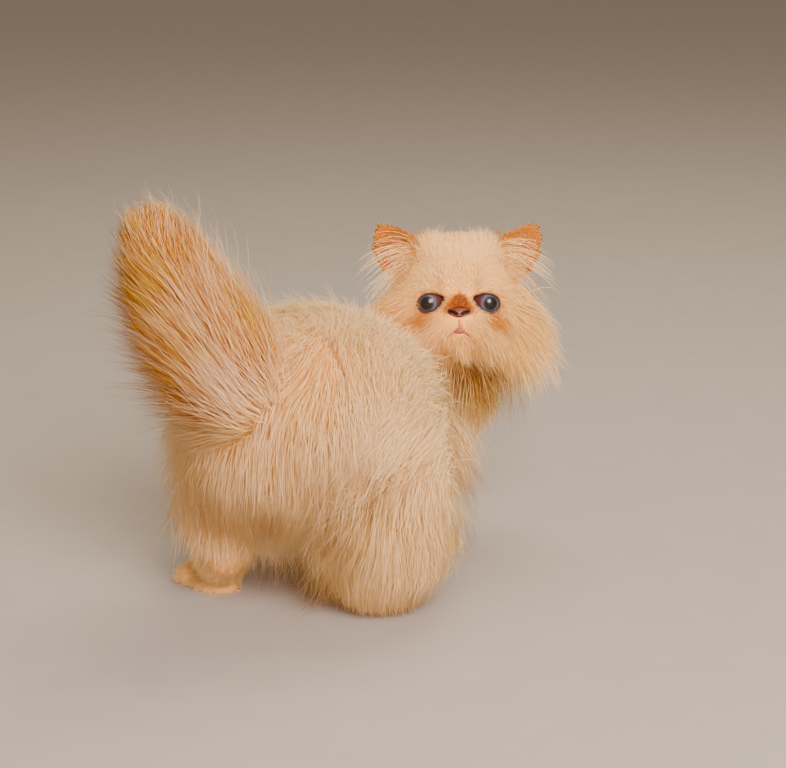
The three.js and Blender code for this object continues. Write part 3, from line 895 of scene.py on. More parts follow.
def corners_of(mesh: bpy.types.Mesh) -> Array:
    """The corners of a mesh, in metres."""
    co = np.zeros(len(mesh.vertices) * 3, np.float32)
    mesh.vertices.foreach_get("co", co)
    return co.reshape(-1, 3).astype(float)


class Socket:
    """A socket of a material's nodes that ordinary sums can be written with."""

    def __init__(self, finish: "Finish", socket: bpy.types.NodeSocket) -> None:
        """Keeps the socket and whose nodes it is one of."""
        self.finish, self.socket = finish, socket

    def sum(self, operation: str, *others: "Socket | Number") -> "Socket":
        """A Math node on this value and the others."""
        values = dict(enumerate((self, *others)))
        return self.finish.node("ShaderNodeMath", {"operation": operation}, values)

    def __add__(self, other: "Socket | Number") -> "Socket":
        """This plus the other."""
        return self.sum("ADD", other)

    __radd__ = __add__

    def __mul__(self, other: "Socket | Number") -> "Socket":
        """This times the other."""
        return self.sum("MULTIPLY", other)

    __rmul__ = __mul__

    def __sub__(self, other: "Socket | Number") -> "Socket":
        """This less the other."""
        return self.sum("SUBTRACT", other)

    def __rsub__(self, other: Number) -> "Socket":
        """The other less this."""
        return self.finish.node("ShaderNodeMath", {"operation": "SUBTRACT"}, {0: other, 1: self})

    def clamped(self) -> "Socket":
        """This, kept from 0 to 1."""
        return self.finish.node("ShaderNodeClamp", {}, {"Value": self})

    def step(self, low: float, high: float) -> "Socket":
        """0 below low, 1 above high and smooth between."""
        settings = {"interpolation_type": "SMOOTHSTEP"}
        values = {"Value": self, "From Min": low, "From Max": high}
        return self.finish.node("ShaderNodeMapRange", settings, values)


Colour = Union[tuple[float, float, float, float], Socket]


class Finish:
    """A material and its nodes, ending in one Principled shader."""

    def __init__(self, name: str) -> None:
        """Makes the material, with no nodes yet."""
        self.material = bpy.data.materials.new(name)
        self.material.use_nodes = True
        self.tree = self.material.node_tree
        self.tree.nodes.clear()

    def node(
        self,
        kind: str,
        settings: dict[str, object] | None = None,
        inputs: dict[str | int, object] | None = None,
        out: str | int = 0,
    ) -> Socket | None:
        """Adds a node.

        Args:
            kind: Its type.
            settings: Its own settings.
            inputs: The value or link of each socket.
            out: Which output is wanted.

        Returns:
            That output, or None from a node that has none.
        """
        made = self.tree.nodes.new(kind)
        for key, value in (settings or {}).items():
            setattr(made, key, value)
        for key, value in (inputs or {}).items():
            if isinstance(value, Socket):
                self.tree.links.new(value.socket, made.inputs[key])
            else:
                made.inputs[key].default_value = value
        return Socket(self, made.outputs[out]) if len(made.outputs) else None

    def value(self, name: str) -> Socket:
        """A number kept for each corner of the mesh."""
        return self.node("ShaderNodeAttribute", {"attribute_name": name}, out="Fac")

    def blend(self, a: Colour, b: Colour, share: Socket | float) -> Socket:
        """Colour a with b over it by a share."""
        return self.node("ShaderNodeMix", {"data_type": "RGBA"}, {0: share, 6: a, 7: b}, out=2)

    def noise(self, scale: float, detail: float = 2) -> Socket:
        """Even noise through the object, its scale for metres."""
        at = self.node("ShaderNodeTexCoord", out="Object")
        return self.node("ShaderNodeTexNoise", {}, {"Vector": at, "Scale": scale, "Detail": detail})

    def finished(
        self, bump: Socket | None = None, depth: float = 0.0, **inputs: object
    ) -> bpy.types.Material:
        """Ends the nodes in the shader.

        Args:
            bump: A height for its bump, or None.
            depth: How deep the bump is, in metres.
            inputs: The shader's sockets, with _ for the spaces of their names.

        Returns:
            The material.
        """
        sockets = {name.replace("_", " "): value for name, value in inputs.items()}
        if bump is not None:
            heights = {"Height": bump, "Distance": depth, "Strength": 1.0}
            sockets["Normal"] = self.node("ShaderNodeBump", {}, heights)
        shader = self.node("ShaderNodeBsdfPrincipled", {}, sockets)
        self.node("ShaderNodeOutputMaterial", {}, {"Surface": shader})
        return self.material


@dataclass(frozen=True)
class Fur:
    """The colours of the coat, from pale cream to flame, with stains, painted shade under the chin
    and towards the hair roots, and a painted glow.
    """

    name: str = "cream_fur"
    pale: tuple[int, int, int] = (254, 192, 108)
    warm: tuple[int, int, int] = (248, 164, 70)
    flame: tuple[int, int, int] = (188, 96, 6)
    rust: tuple[int, int, int] = (112, 44, 4)
    # The colour of stains, and of the painted shadow under the chin.
    stain: tuple[int, int, int] = (98, 46, 8)
    bare: tuple[int, int, int] = (206, 128, 98)
    roughness: float = 0.75
    contrast: float = 0.25
    # A faint glow in the coat's own colour: painted light that lifts the shade between the hairs.
    glow: float = 0.16

    def colour(self, finish: Finish, along: Socket | Number, tone: Socket | Number) -> Socket:
        """The coat's colour from its markings.

        Args:
            finish: Whose nodes it is built in.
            along: From a hair's root, 0, to its tip, 1; more flame towards the root is painted
                shade.
            tone: What sets one tuft off from the next, 0 to 1.

        Returns:
            The colour.
        """
        base = finish.blend(shade(*self.warm), shade(*self.pale), tone)
        ginger = finish.value("ginger")
        # Flame is deepest at the root and fades towards the tip: painted shade deep in the coat.
        flame_share = (ginger * 1.9 - 0.5 * along * ginger).clamped()
        base = finish.blend(base, shade(*self.flame), flame_share)
        base = finish.blend(base, shade(*self.rust), ginger.step(0.72, 1.0))
        return finish.blend(base, shade(*self.stain), finish.value("stain"))

    def coat(self) -> bpy.types.Material:
        """The finish of the tufts, painted darker towards each hair's root as shade, and glowing
        faintly as painted light.
        """
        finish = Finish(self.name)
        along = finish.value("along")
        # Each hair is warmer and darker towards its root, painted shade deep in the coat; its tone
        # varies at random.
        tone = finish.value("tone") * self.contrast + along * 0.4 + 0.6 - self.contrast
        colour = self.colour(finish, along, tone.clamped())
        return finish.finished(
            Base_Color=colour,
            Roughness=self.roughness,
            Specular_IOR_Level=0.2,
            Subsurface_Weight=0.5,
            Subsurface_Radius=(1.0, 0.7, 0.45),
            Subsurface_Scale=0.0015,
            # Painted light: the coat glows in its own colour, to lighten the shade between hairs.
            Emission_Color=colour,
            Emission_Strength=self.glow,
        )

    def skin(self) -> bpy.types.Material:
        """The finish of the skin and the down on it, glowing faintly as painted light."""
        finish = Finish("skin_and_down")
        down = finish.noise(900, 4)
        # The skin takes the colour of the hairs' roots, with their painted shade of deeper flame.
        colour = self.colour(finish, 0.0, (down * 0.8).clamped())
        colour = finish.blend(colour, shade(*self.bare), finish.value("bare"))
        return finish.finished(
            down,
            0.0006,
            Base_Color=colour,
            Roughness=0.8,
            Specular_IOR_Level=0.2,
            # Painted light: the skin glows in its own colour, like the coat.
            Emission_Color=colour,
            Emission_Strength=self.glow,
        )


@dataclass(frozen=True)
class Iris:
    """The eye's colours: a dark pupil in a pale grey-blue iris with a dark edge."""

    pupil: tuple[int, int, int] = (16, 11, 10)
    inner: tuple[int, int, int] = (54, 50, 52)
    outer: tuple[int, int, int] = (98, 96, 116)
    streak: tuple[int, int, int] = (70, 76, 86)
    edge: tuple[int, int, int] = (74, 60, 74)
    white: tuple[int, int, int] = (76, 38, 38)

    def material(self, eye: Eye) -> bpy.types.Material:
        """The finish of the whole ball, wet all over."""
        finish = Finish("eye")
        off = finish.value("off_gaze")
        streaks = finish.noise(1500, 5)
        ring = off + (streaks - 0.5) * 0.05
        iris, pupil = eye.iris, eye.pupil
        layers = (
            (self.outer, ring.step(pupil, iris * 0.9)),
            (self.streak, streaks.step(0.45, 0.75) * 0.5),
            (self.pupil, 1 - off.step(pupil - 0.06, pupil + 0.05)),
            (self.edge, ring.step(iris * 0.78, iris * 1.0)),
            (self.white, off.step(iris * 0.96, iris + 0.12)),
        )
        colour: Colour = shade(*self.inner)
        for over, share in layers:
            colour = finish.blend(colour, shade(*over), share)
        return finish.finished(
            Base_Color=colour,
            Roughness=0.4,
            Specular_IOR_Level=0.2,
            Coat_Weight=0.5,
            Coat_Roughness=0.03,
        )


@dataclass(frozen=True)
class Leather:
    """Bare, moist skin such as the nose's."""

    name: str
    colour: tuple[int, int, int]
    dark: tuple[int, int, int]
    grain: float = 1800
    roughness: float = 0.42

    def material(self) -> bpy.types.Material:
        """The finish, pebbled and mottled, and darker where its deep value says, which on the nose
        is painted shade.
        """
        finish = Finish(self.name)
        pebbles = finish.noise(self.grain, 3)
        mottle = finish.noise(self.grain / 6, 2)
        # Its own mottle, and the deep value: on the nose, painted shade in the nostrils and the
        # groove.
        dark_share = mottle.step(0.4, 0.7) * 0.6 + finish.value("deep")
        colour = finish.blend(shade(*self.colour), shade(*self.dark), dark_share)
        return finish.finished(
            pebbles, 0.0002, Base_Color=colour, Roughness=self.roughness, Coat_Weight=0.12
        )


@dataclass(frozen=True)
class Growth:
    """How one layer of a coat grows.

    Its tufts end at the share out of the coat. wide is their width in millimetres, long their
    length as a share of the coat's, share their share of its tufts, gather how far their tips draw
    together, stray how far they stray as a share of the coat's own frizz, tint how much flame they
    take, and steps the bends in each.
    """

    out: float
    wide: float
    long: float
    share: float
    gather: float
    stray: float
    steps: int
    tint: float


class Layer(Enum):
    """The layers of a coat, from the skin out."""

    UNDER = Growth(0.84, 0.7, 0.75, 0.4, 0.0, 0.5, 2, 1.1)
    MAIN = Growth(0.97, 0.38, 0.95, 0.44, 0.1, 1.0, 3, 1.0)
    WISP = Growth(1.06, 0.22, 1.1, 0.16, 0.2, 2.5, 3, 0.75)


@dataclass
class Tufts:
    """Tufts of hair: the line of each, its width, its outer side, its tone and its markings."""

    lines: Array
    half_width: Array
    normal: Array
    tone: Array
    flame: Array
    stain: Array


@dataclass
class Coat:
    """How the long coat of one part grows.

    Its count of tufts lie as lie says, reach times the coat's depth long. out says where in the
    coat their tips are, ragged how much that varies, stand how soon they rise, and trim how much of
    the coat is left at places. On the cat's back they rise at top_stand. Where others cover a root,
    it is below lowest, or the coat isn't deeper than shortest, nothing grows. One tuft in per_guide
    draws those near it together. Strays go off by at most most_stray times the frizz, tufts have
    their whole width from a coat full_depth deep, and tuck moves the lines last.
    """

    part: Coated
    others: list[Coated]
    count: int
    lie: Callable[[Array], Array]
    slot: str = "body_fur"
    reach: float = 1.9
    width: float = 1.0
    gather: float = 1.0
    frizz: float = 0.08
    ragged: float = 0.2
    out: float = 1.0
    stand: float = 2.4
    trim: Callable[[Array], Array] | None = None
    tuck: Callable[[Array], Array] | None = None
    shortest: float = 2.5
    lowest: float = 1.5
    top_stand: float = 3.2
    most_stray: float = 1.8
    full_depth: float = 14
    per_guide: int = 12
    seed: int = 1

    def grown(self, markings: Markings, layer: Layer) -> Tufts:
        """The tufts of one layer, in the cat's own frame.

        Args:
            markings: Gives each tuft its colours, at its root.
            layer: Which layer.

        Returns:
            The tufts.
        """
        growth = layer.value
        rng = np.random.default_rng([self.seed, list(Layer).index(layer)])
        v, angle = self.part.scatter(int(self.count * growth.share), rng)
        nowhere, everywhere = np.zeros(len(v)), np.ones(len(v))
        root = self.part.surface(v, angle, nowhere + SKIN_SHARE)
        covered = [p.covers(root, ROOT_SHARE) for p in self.others]
        hidden = np.any(covered + [root[:, 2] < self.lowest], 0)
        tip = self.part.surface(v, angle, everywhere)
        depth = np.linalg.norm(tip - self.part.surface(v, angle, nowhere), axis=-1)
        keep = ~hidden & (depth > self.shortest)
        v, angle, root, depth, tip = (a[keep] for a in (v, angle, root, depth, tip))
        count = len(v)
        kept = self.trim(root) if self.trim else np.ones(count)
        length = depth * self.reach * growth.long * kept * rng.uniform(0.8, 1.2, count)
        uneven = rng.uniform(1 - self.ragged, 1 + 0.4 * self.ragged, count)
        tip_share = growth.out * self.out * kept * uneven

        def lie(points: Array) -> Array:
            waves = 0.4 * swirl(points, scale=16, seed=11)
            return unit(self.lie(points)) + waves + 0.15 * swirl(points, scale=5, seed=12)

        places = self.part.walk(v, angle, np.stack([length / growth.steps] * growth.steps), lie)
        s = np.linspace(0, 1, growth.steps + 1)
        normal = np.stack([n for _, _, n in places], 1)
        normal *= np.sign((normal[:, 0] * (tip - root)).sum(-1) + 1e-9)[:, None, None]
        stand = mix(self.stand, self.top_stand, smoothstep(normal[:, 0, 2], 0.1, 0.7))
        rise = 1 - (1 - s[None]) ** stand[:, None]
        shares = [mix(SKIN_SHARE - 0.08, tip_share, r) for r in rise.T]
        rows = [self.part.surface(a, b, share) for (a, b, _), share in zip(places, shares)]
        lift = (depth * tip_share)[:, None] * rise
        lines = self.draped(np.stack(rows, 1), normal, length, lift, s)
        lines = self.gathered(lines, root, s, growth.gather * self.gather, rng)
        stray = np.clip(rng.normal(size=(count, 1, 3)), -self.most_stray, self.most_stray)
        stray = stray * (depth * kept * self.frizz * growth.stray)[:, None, None]
        lines += stray * (s**1.4)[None, :, None]
        if self.tuck:
            lines = self.tuck(lines)
        floor = FLOOR_CLEARANCE + rng.uniform(0, 1, count)
        lines[:, :, 2] = np.maximum(lines[:, :, 2], floor[:, None])
        flame, stain = markings.at(root)
        half = 0.5 * self.width * growth.wide * rng.uniform(0.7, 1.3, count)
        half = half * np.clip(depth / self.full_depth, 0.4, 1.1)
        return Tufts(lines, half, normal, rng.uniform(0, 1, count), flame * growth.tint, stain)

    def draped(
        self, lines: Array, normal: Array, length: Array, lift: Array, s: Array
    ) -> Array:
        """Lets what would curl in under the body hang straight down.

        Args:
            lines: The line of each tuft.
            normal: The way out of the coat along each line.
            length: The length of each.
            lift: How far each point stands off the skin.
            s: The share of each point along a line.

        Returns:
            The lines, hanging where they would turn under.
        """
        way = unit(along_surface(unit(lines[:, 1] - lines[:, 0]), normal[:, 0]))
        hung = lines[:, :1] + way[:, None] * (length[:, None] * s)[:, :, None]
        hung = hung + normal[:, :1] * lift[:, :, None] * 0.85
        hung = hung - UP * (length[:, None] * s**2 * 0.25)[:, :, None]
        share = fall(normal[:, -1, 2], -0.35, 0.25) * 0.9 + 0.1
        return mix(lines, hung, share[:, None, None])

    def gathered(
        self, lines: Array, root: Array, s: Array, gather: float, rng: np.random.Generator
    ) -> Array:
        """Draws the tips of near tufts together, as hair clings.

        Args:
            lines: The line of each tuft.
            root: Its root.
            s: The share of each point along a line.
            gather: How far they are drawn.
            rng: The seeded source of chance.

        Returns:
            The lines drawn together.
        """
        count = max(len(root) // self.per_guide, 1)
        guides = rng.choice(len(root), count, replace=False)
        nearest = nearest_guides(root, root[guides])
        pull = gather * rng.uniform(0.3, 1.4, len(root))
        target = lines[guides[nearest]]
        share = pull[:, None] * (s**1.5)[None]
        return lines + (target - lines) * share[:, :, None]


@dataclass
class Nap:
    """Fur that springs from a region of the skin, from short down to a ruff that droops.

    region says how much of it grows at places, and density how many tufts to a square millimetre.
    Its lie is kept to the skin, stand lifts it off and droop lets it hang, as shares of its length.
    gather draws its tips together, one tuft in per_guide the others near it, stray sets them apart
    and mottle varies its markings. Its roots are sunk a little, and no hair comes below the floor.
    """

    region: Callable[[Array], Array]
    density: float
    length: float
    width: float
    lie: Callable[[Array], Array]
    stand: float = 0.35
    droop: float = 0.0
    gather: float = 0.0
    stray: float = 0.14
    seed: int = 50
    steps: int = 2
    mottle: float = 0.2
    sunk: float = 0.4
    floor: float = 0.3
    per_guide: int = 9
    slot: str = "face_fur"

    def grown(self, skin: "Skin", markings: Markings) -> Tufts:
        """The tufts, in the cat's own frame.

        Args:
            skin: The skin it grows on.
            markings: Gives each tuft its colours.

        Returns:
            The tufts.
        """
        rng = np.random.default_rng(self.seed)
        root, normal = skin.strewn(self.region, self.density, rng)
        count = len(root)
        way = unit(self.lie(root)) + 0.35 * swirl(root, scale=7, seed=21)
        way = unit(along_surface(way + rng.normal(size=root.shape) * self.stray, normal))
        length = self.length * rng.uniform(0.65, 1.25, count) * self.region(root)
        s = np.linspace(0, 1, self.steps + 1)
        up = self.stand * (1 - (1 - s) ** 1.5)
        reach = way[:, None] * s[None, :, None] + normal[:, None] * up[None, :, None]
        reach = reach - UP * (self.droop * s**2)[None, :, None]
        lines = root[:, None] + length[:, None, None] * reach
        lines -= normal[:, None] * self.sunk * (1 - s)[None, :, None]
        if self.gather:
            nearest = nearest_guides(root, root[: max(count // self.per_guide, 1)])
            pull = self.gather * rng.uniform(0.3, 1.3, count)
            lines += (lines[nearest] - lines) * (pull[:, None, None] * (s**1.5)[None, :, None])
        lines[:, :, 2] = np.maximum(lines[:, :, 2], self.floor)
        most = 1 + 0.4 * self.mottle
        flame, stain = (
            np.clip(shares * rng.uniform(1 - self.mottle, most, count), 0, 1)
            for shares in markings.at(root)
        )
        half = 0.5 * self.width * rng.uniform(0.7, 1.3, count)
        sides = np.repeat(normal[:, None], len(s), 1)
        return Tufts(lines, half, sides, rng.uniform(0, 1, count), flame, stain)


class Skin:
    """One skin over the whole body, with sockets, ears and paws."""

    def __init__(
        self, kitten: Kitten, place: Frame, markings: Markings, voxel: float = 0.9
    ) -> None:
        """Builds it.

        Args:
            kitten: The shapes that it covers.
            place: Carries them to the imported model's frame.
            markings: Its colours.
            voxel: How finely it follows them, in millimetres.
        """
        self.kitten, self.place, self.markings = kitten, place, markings
        self.eyes = [Eye(1), Eye(-1)]
        forms = [part.form(48, 48, SKIN_SHARE) for part in kitten.parts().values()]
        forms += [f for paw in PAWS for f in paw.forms()]
        forms += [Ear(side).form().moved(kitten.head.placed) for side in (1, -1)]
        rough = new_mesh("skin_rough", together(forms), place)
        remesh = rough.modifiers.new("remesh", "REMESH")
        remesh.mode, remesh.voxel_size, remesh.use_smooth_shade = "VOXEL", voxel * MM, True
        smooth = rough.modifiers.new("smooth", "SMOOTH")
        smooth.factor, smooth.iterations = 0.5, 3
        graph = bpy.context.evaluated_depsgraph_get()
        self.mesh = bpy.data.meshes.new_from_object(rough.evaluated_get(graph))
        bpy.data.objects.remove(rough)
        self.mesh.name = "skin"
        self.object = linked("skin", self.mesh)
        self.sculpt()
        self.unwrap()
        self.corners = place.inverse(corners_of(self.mesh))
        self.read_faces()
        self.colour()

    def sculpt(self) -> None:
        """Sinks the sockets, the mouth and the nose's bed, and rests the feet on the floor."""
        head = self.kitten.head
        points = self.place.inverse(corners_of(self.mesh))
        local = head.local(points)
        front = local[:, 1] > FACE_FRONT
        around, behind, proud = 16, 1.6, 0.5
        for eye in self.eyes:
            near = front & (np.linalg.norm(local - eye.middle(), axis=-1) < around)
            p = local[near]
            inside = eye.opening(p)
            off = p - eye.middle()
            ball = np.sqrt(np.maximum(eye.radius**2 - off[:, 0] ** 2 - off[:, 2] ** 2, 4))
            ball = ball + eye.middle()[1]
            sunk, lid = np.minimum(p[:, 1], ball - behind), np.maximum(p[:, 1], ball + proud)
            edge = np.exp(-((inside + 1.5) ** 2) / 1.6)
            p[:, 1] = mix(mix(p[:, 1], lid, edge), sunk, smoothstep(inside, -0.5, 0.5))
            local[near] = p
        groove_deep, groove_wide, bed_deep = 1.1, 0.8, 2.6
        for line in MOUTH_LINES:
            near = np.flatnonzero(front & (local[:, 2] < -6) & (local[:, 2] > -26))
            p = local[near]
            gap = gap_to_line(p[:, (0, 2)], np.array(line))
            p[:, 1] -= groove_deep * np.exp(-((gap / groove_wide) ** 2))
            local[near] = p
        nose = np.hypot(local[:, 0] / 6.2, (local[:, 2] + 5.0) / 2.7)
        local[:, 1] -= bed_deep * front * fall(nose, 0.6, 1.0)
        points = head.placed(local)
        points[:, 2] = np.maximum(points[:, 2], LOWEST)
        flat = self.place.metres(points).astype(np.float32).ravel()
        self.mesh.vertices.foreach_set("co", flat)
        self.mesh.update()

    def unwrap(self) -> None:
        """Lays the skin out flat as its bake map."""
        self.mesh.uv_layers.new(name=UV_NAME)
        bpy.context.view_layer.objects.active = self.object
        self.object.select_set(True)
        bpy.ops.object.mode_set(mode="EDIT")
        bpy.ops.mesh.select_all(action="SELECT")
        bpy.ops.uv.smart_project(angle_limit=math.radians(66), island_margin=0.002)
        bpy.ops.object.mode_set(mode="OBJECT")
        self.object.select_set(False)

    def read_faces(self) -> None:
        """Keeps its faces as triangles, with their map places, for tufts to root on."""
        mesh = self.mesh
        mesh.calc_loop_triangles()
        corners, loops = np.zeros((2, len(mesh.loop_triangles) * 3), np.int32)
        mesh.loop_triangles.foreach_get("vertices", corners)
        mesh.loop_triangles.foreach_get("loops", loops)
        self.triangles = corners.reshape(-1, 3)
        flat = np.zeros(len(mesh.loops) * 2, np.float32)
        mesh.uv_layers[UV_NAME].data.foreach_get("uv", flat)
        self.triangle_uv = flat.reshape(-1, 2)[loops.reshape(-1, 3)]
        a, b, c = (self.corners[self.triangles[:, k]] for k in range(3))
        across = np.cross(b - a, c - a)
        self.area, self.normal = np.linalg.norm(across, axis=-1) / 2, unit(across)
        self.middle = (a + b + c) / 3
        self.tree = BVHTree.FromPolygons(self.corners.tolist(), self.triangles.tolist())

    def strewn(
        self, region: Callable[[Array], Array], density: float, rng: np.random.Generator
    ) -> tuple[Array, Array]:
        """Places strewn over a region of the skin.

        Args:
            region: How much of it each point is in, 0 to 1.
            density: Places to a square millimetre.
            rng: The seeded source of chance.

        Returns:
            The places and their normals.
        """
        weight = self.area * (region(self.middle) > 0.02)
        count = int(weight.sum() * density)
        chosen = rng.choice(len(weight), count, p=weight / weight.sum())
        p, q = rng.uniform(0, 1, (2, count, 1))
        flip = p + q > 1
        p, q = np.where(flip, 1 - p, p), np.where(flip, 1 - q, q)
        a, b, c = (self.corners[self.triangles[chosen, k]] for k in range(3))
        return a + (b - a) * p + (c - a) * q, self.normal[chosen]

    def map_places(self, roots: Array) -> Array:
        """Where each root lies on the skin's own map."""
        faces = np.array([self.tree.find_nearest(p)[2] for p in roots])
        return self.triangle_uv[faces].mean(1)

    def colour(self) -> None:
        """Writes its markings, with the painted shadow under the chin, and where it is bare inside
        the ears.
        """
        flame, stain = self.markings.at(self.corners)
        local = self.kitten.head.local(self.corners)
        bare = np.zeros(len(local))
        for side in (1, -1):
            base, _, across, front = Ear(side).axes()
            t = Ear(side).share_up(local)
            x = np.abs((local - base) @ across / Ear(side).wide)
            y = (local - base) @ front
            inside = smoothstep(t, 0.0, 0.2) * fall(t, 0.6, 0.85) * fall(x, 0.4, 0.8)
            bare = np.maximum(bare, inside * smoothstep(y, -4, 0))
        write_values(self.mesh, ginger=flame, stain=stain, bare=bare * 0.8)


PAWS = (
    Paw((-48, 2), 62, (10.5, 15, 12), fur_top=50),
    Paw((41, 22), -12, (10.5, 15, 12)),
    Paw((7, 105), -25, (10, 12, 12)),
    Paw((38, 84), -35, (8.8, 11, 11)),
)
MOUTH_LINES = (
    ((0, -8.4), (0, -10.4), (0, -12.2)),
    ((0, -12.2), (2.6, -15.0), (6.0, -17.8)),
    ((0, -12.2), (-2.6, -15.0), (-6.0, -17.8)),
)


def gap_to_line(points: Array, line: Array) -> Array:
    """How far each flat point lies from a line of points."""
    best = np.full(len(points), 1e9)
    for a, b in zip(line[:-1], line[1:]):
        way = b - a
        t = np.clip((points - a) @ way / (way @ way), 0, 1)
        best = np.minimum(best, np.linalg.norm(points - a - t[:, None] * way, axis=-1))
    return best


def triangle_mesh(name: str, corners: Array, faces: Array) -> bpy.types.Mesh:
    """A smooth-shaded mesh of many triangles, made quickly.

    Args:
        name: Its name.
        corners: Its corners, in metres.
        faces: The corners of its triangles, one after the other.

    Returns:
        The mesh.
    """
    mesh = bpy.data.meshes.new(name)
    mesh.vertices.add(len(corners))
    mesh.vertices.foreach_set("co", corners.astype(np.float32).ravel())
    mesh.loops.add(len(faces))
    mesh.loops.foreach_set("vertex_index", faces.astype(np.int32))
    count = len(faces) // 3
    mesh.polygons.add(count)
    mesh.polygons.foreach_set("loop_start", np.arange(0, len(faces), 3, dtype=np.int32))
    mesh.polygons.foreach_set("material_index", np.zeros(count, np.int32))
    mesh.update(calc_edges=True)
    mesh.shade_smooth()
    return mesh


def tuft_faces(rings: int) -> Array:
    """The triangles of one three-sided tuft: its root, its sides and its tip."""
    tip = rings * 3
    faces: list[tuple[int, int, int]] = [(0, 1, 2)]
    for r in range(rings - 1):
        for k in range(3):
            a, b = r * 3 + k, r * 3 + (k + 1) % 3
            faces += [(a, a + 3, b), (b, a + 3, b + 3)]
    last = tip - 3
    faces += [(last + k, tip, last + (k + 1) % 3) for k in range(3)]
    return np.array(faces)


def tuft_pieces(
    name: str, tufts: Tufts, skin: Skin, place: Frame, material: bpy.types.Material, slot: str
) -> int:
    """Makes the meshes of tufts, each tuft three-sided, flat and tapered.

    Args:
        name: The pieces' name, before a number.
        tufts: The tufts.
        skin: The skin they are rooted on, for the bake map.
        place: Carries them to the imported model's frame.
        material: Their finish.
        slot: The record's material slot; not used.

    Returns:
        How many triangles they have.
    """
    count, points = tufts.lines.shape[:2]
    rings = points - 1
    tip = rings * 3
    each = tip + 1
    local = tuft_faces(rings)
    per_piece = PIECE_LIMIT // len(local)
    s = np.linspace(0, 1, points)
    along = np.append(np.repeat(s[:-1], 3), 1.0)
    taper = ((s[:-1] + 0.12) ** 0.35) * (1 - s[:-1]) ** 0.6
    across = np.append(np.tile([-0.5, 0.0, 0.5], rings), 0.0)
    patch = np.stack([across, along - 0.5], -1) * TUFT_PATCH
    for number, start in enumerate(range(0, count, per_piece)):
        part = slice(start, min(start + per_piece, count))
        lines, outward, tone = place.within(tufts.lines[part]), tufts.normal[part], tufts.tone[part]
        n = len(lines)
        ahead = unit(np.gradient(lines, axis=1))[:, :-1]
        side = unit(np.cross(ahead, outward[:, :-1]))
        rise = np.cross(side, ahead)
        turn = TWIST * np.sin(tone * 97.0)[:, None, None]
        c, d = np.cos(turn), np.sin(turn)
        side, rise = side * c + rise * d, rise * c - side * d
        half = (tufts.half_width[part][:, None] * taper[None])[:, :, None]
        at = lines[:, :-1]
        ring = np.stack([at - side * half, at - rise * half * THICKNESS, at + side * half], 2)
        corners = np.concatenate([ring.reshape(n, -1, 3), lines[:, -1:]], 1).reshape(-1, 3)
        corners[:, 2] = np.maximum(corners[:, 2], LOWEST)
        faces = (local[None] + (np.arange(n) * each)[:, None, None]).reshape(-1)
        mesh = triangle_mesh(f"{name}_{number + 1}", place.metres(corners), faces)
        tilt = np.stack([rise * 0.8 - side * 0.5, -rise * 0.2, rise * 0.8 + side * 0.5], 2)
        soft = np.repeat(outward[:, :-1, None], 3, 2) * SOFTNESS + tilt * (1 - SOFTNESS)
        soft = np.concatenate([soft.reshape(n, -1, 3), outward[:, -1:]], 1).reshape(-1, 3)
        mesh.normals_split_custom_set_from_vertices(unit(soft).tolist())
        write_values(
            mesh,
            along=np.tile(along, n),
            tone=np.repeat(tone, each),
            ginger=np.repeat(tufts.flame[part], each),
            stain=np.repeat(tufts.stain[part], each),
        )
        spot = skin.map_places(lines[:, 0])
        uv = np.clip(spot[:, None] + patch[None], 0, 1).reshape(-1, 2)[faces]
        mesh.uv_layers.new(name=UV_NAME).data.foreach_set("uv", uv.astype(np.float32).ravel())
        mesh.materials.append(material)
        made = linked(mesh.name, mesh)
        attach(made, BODY)
    return count * len(local)


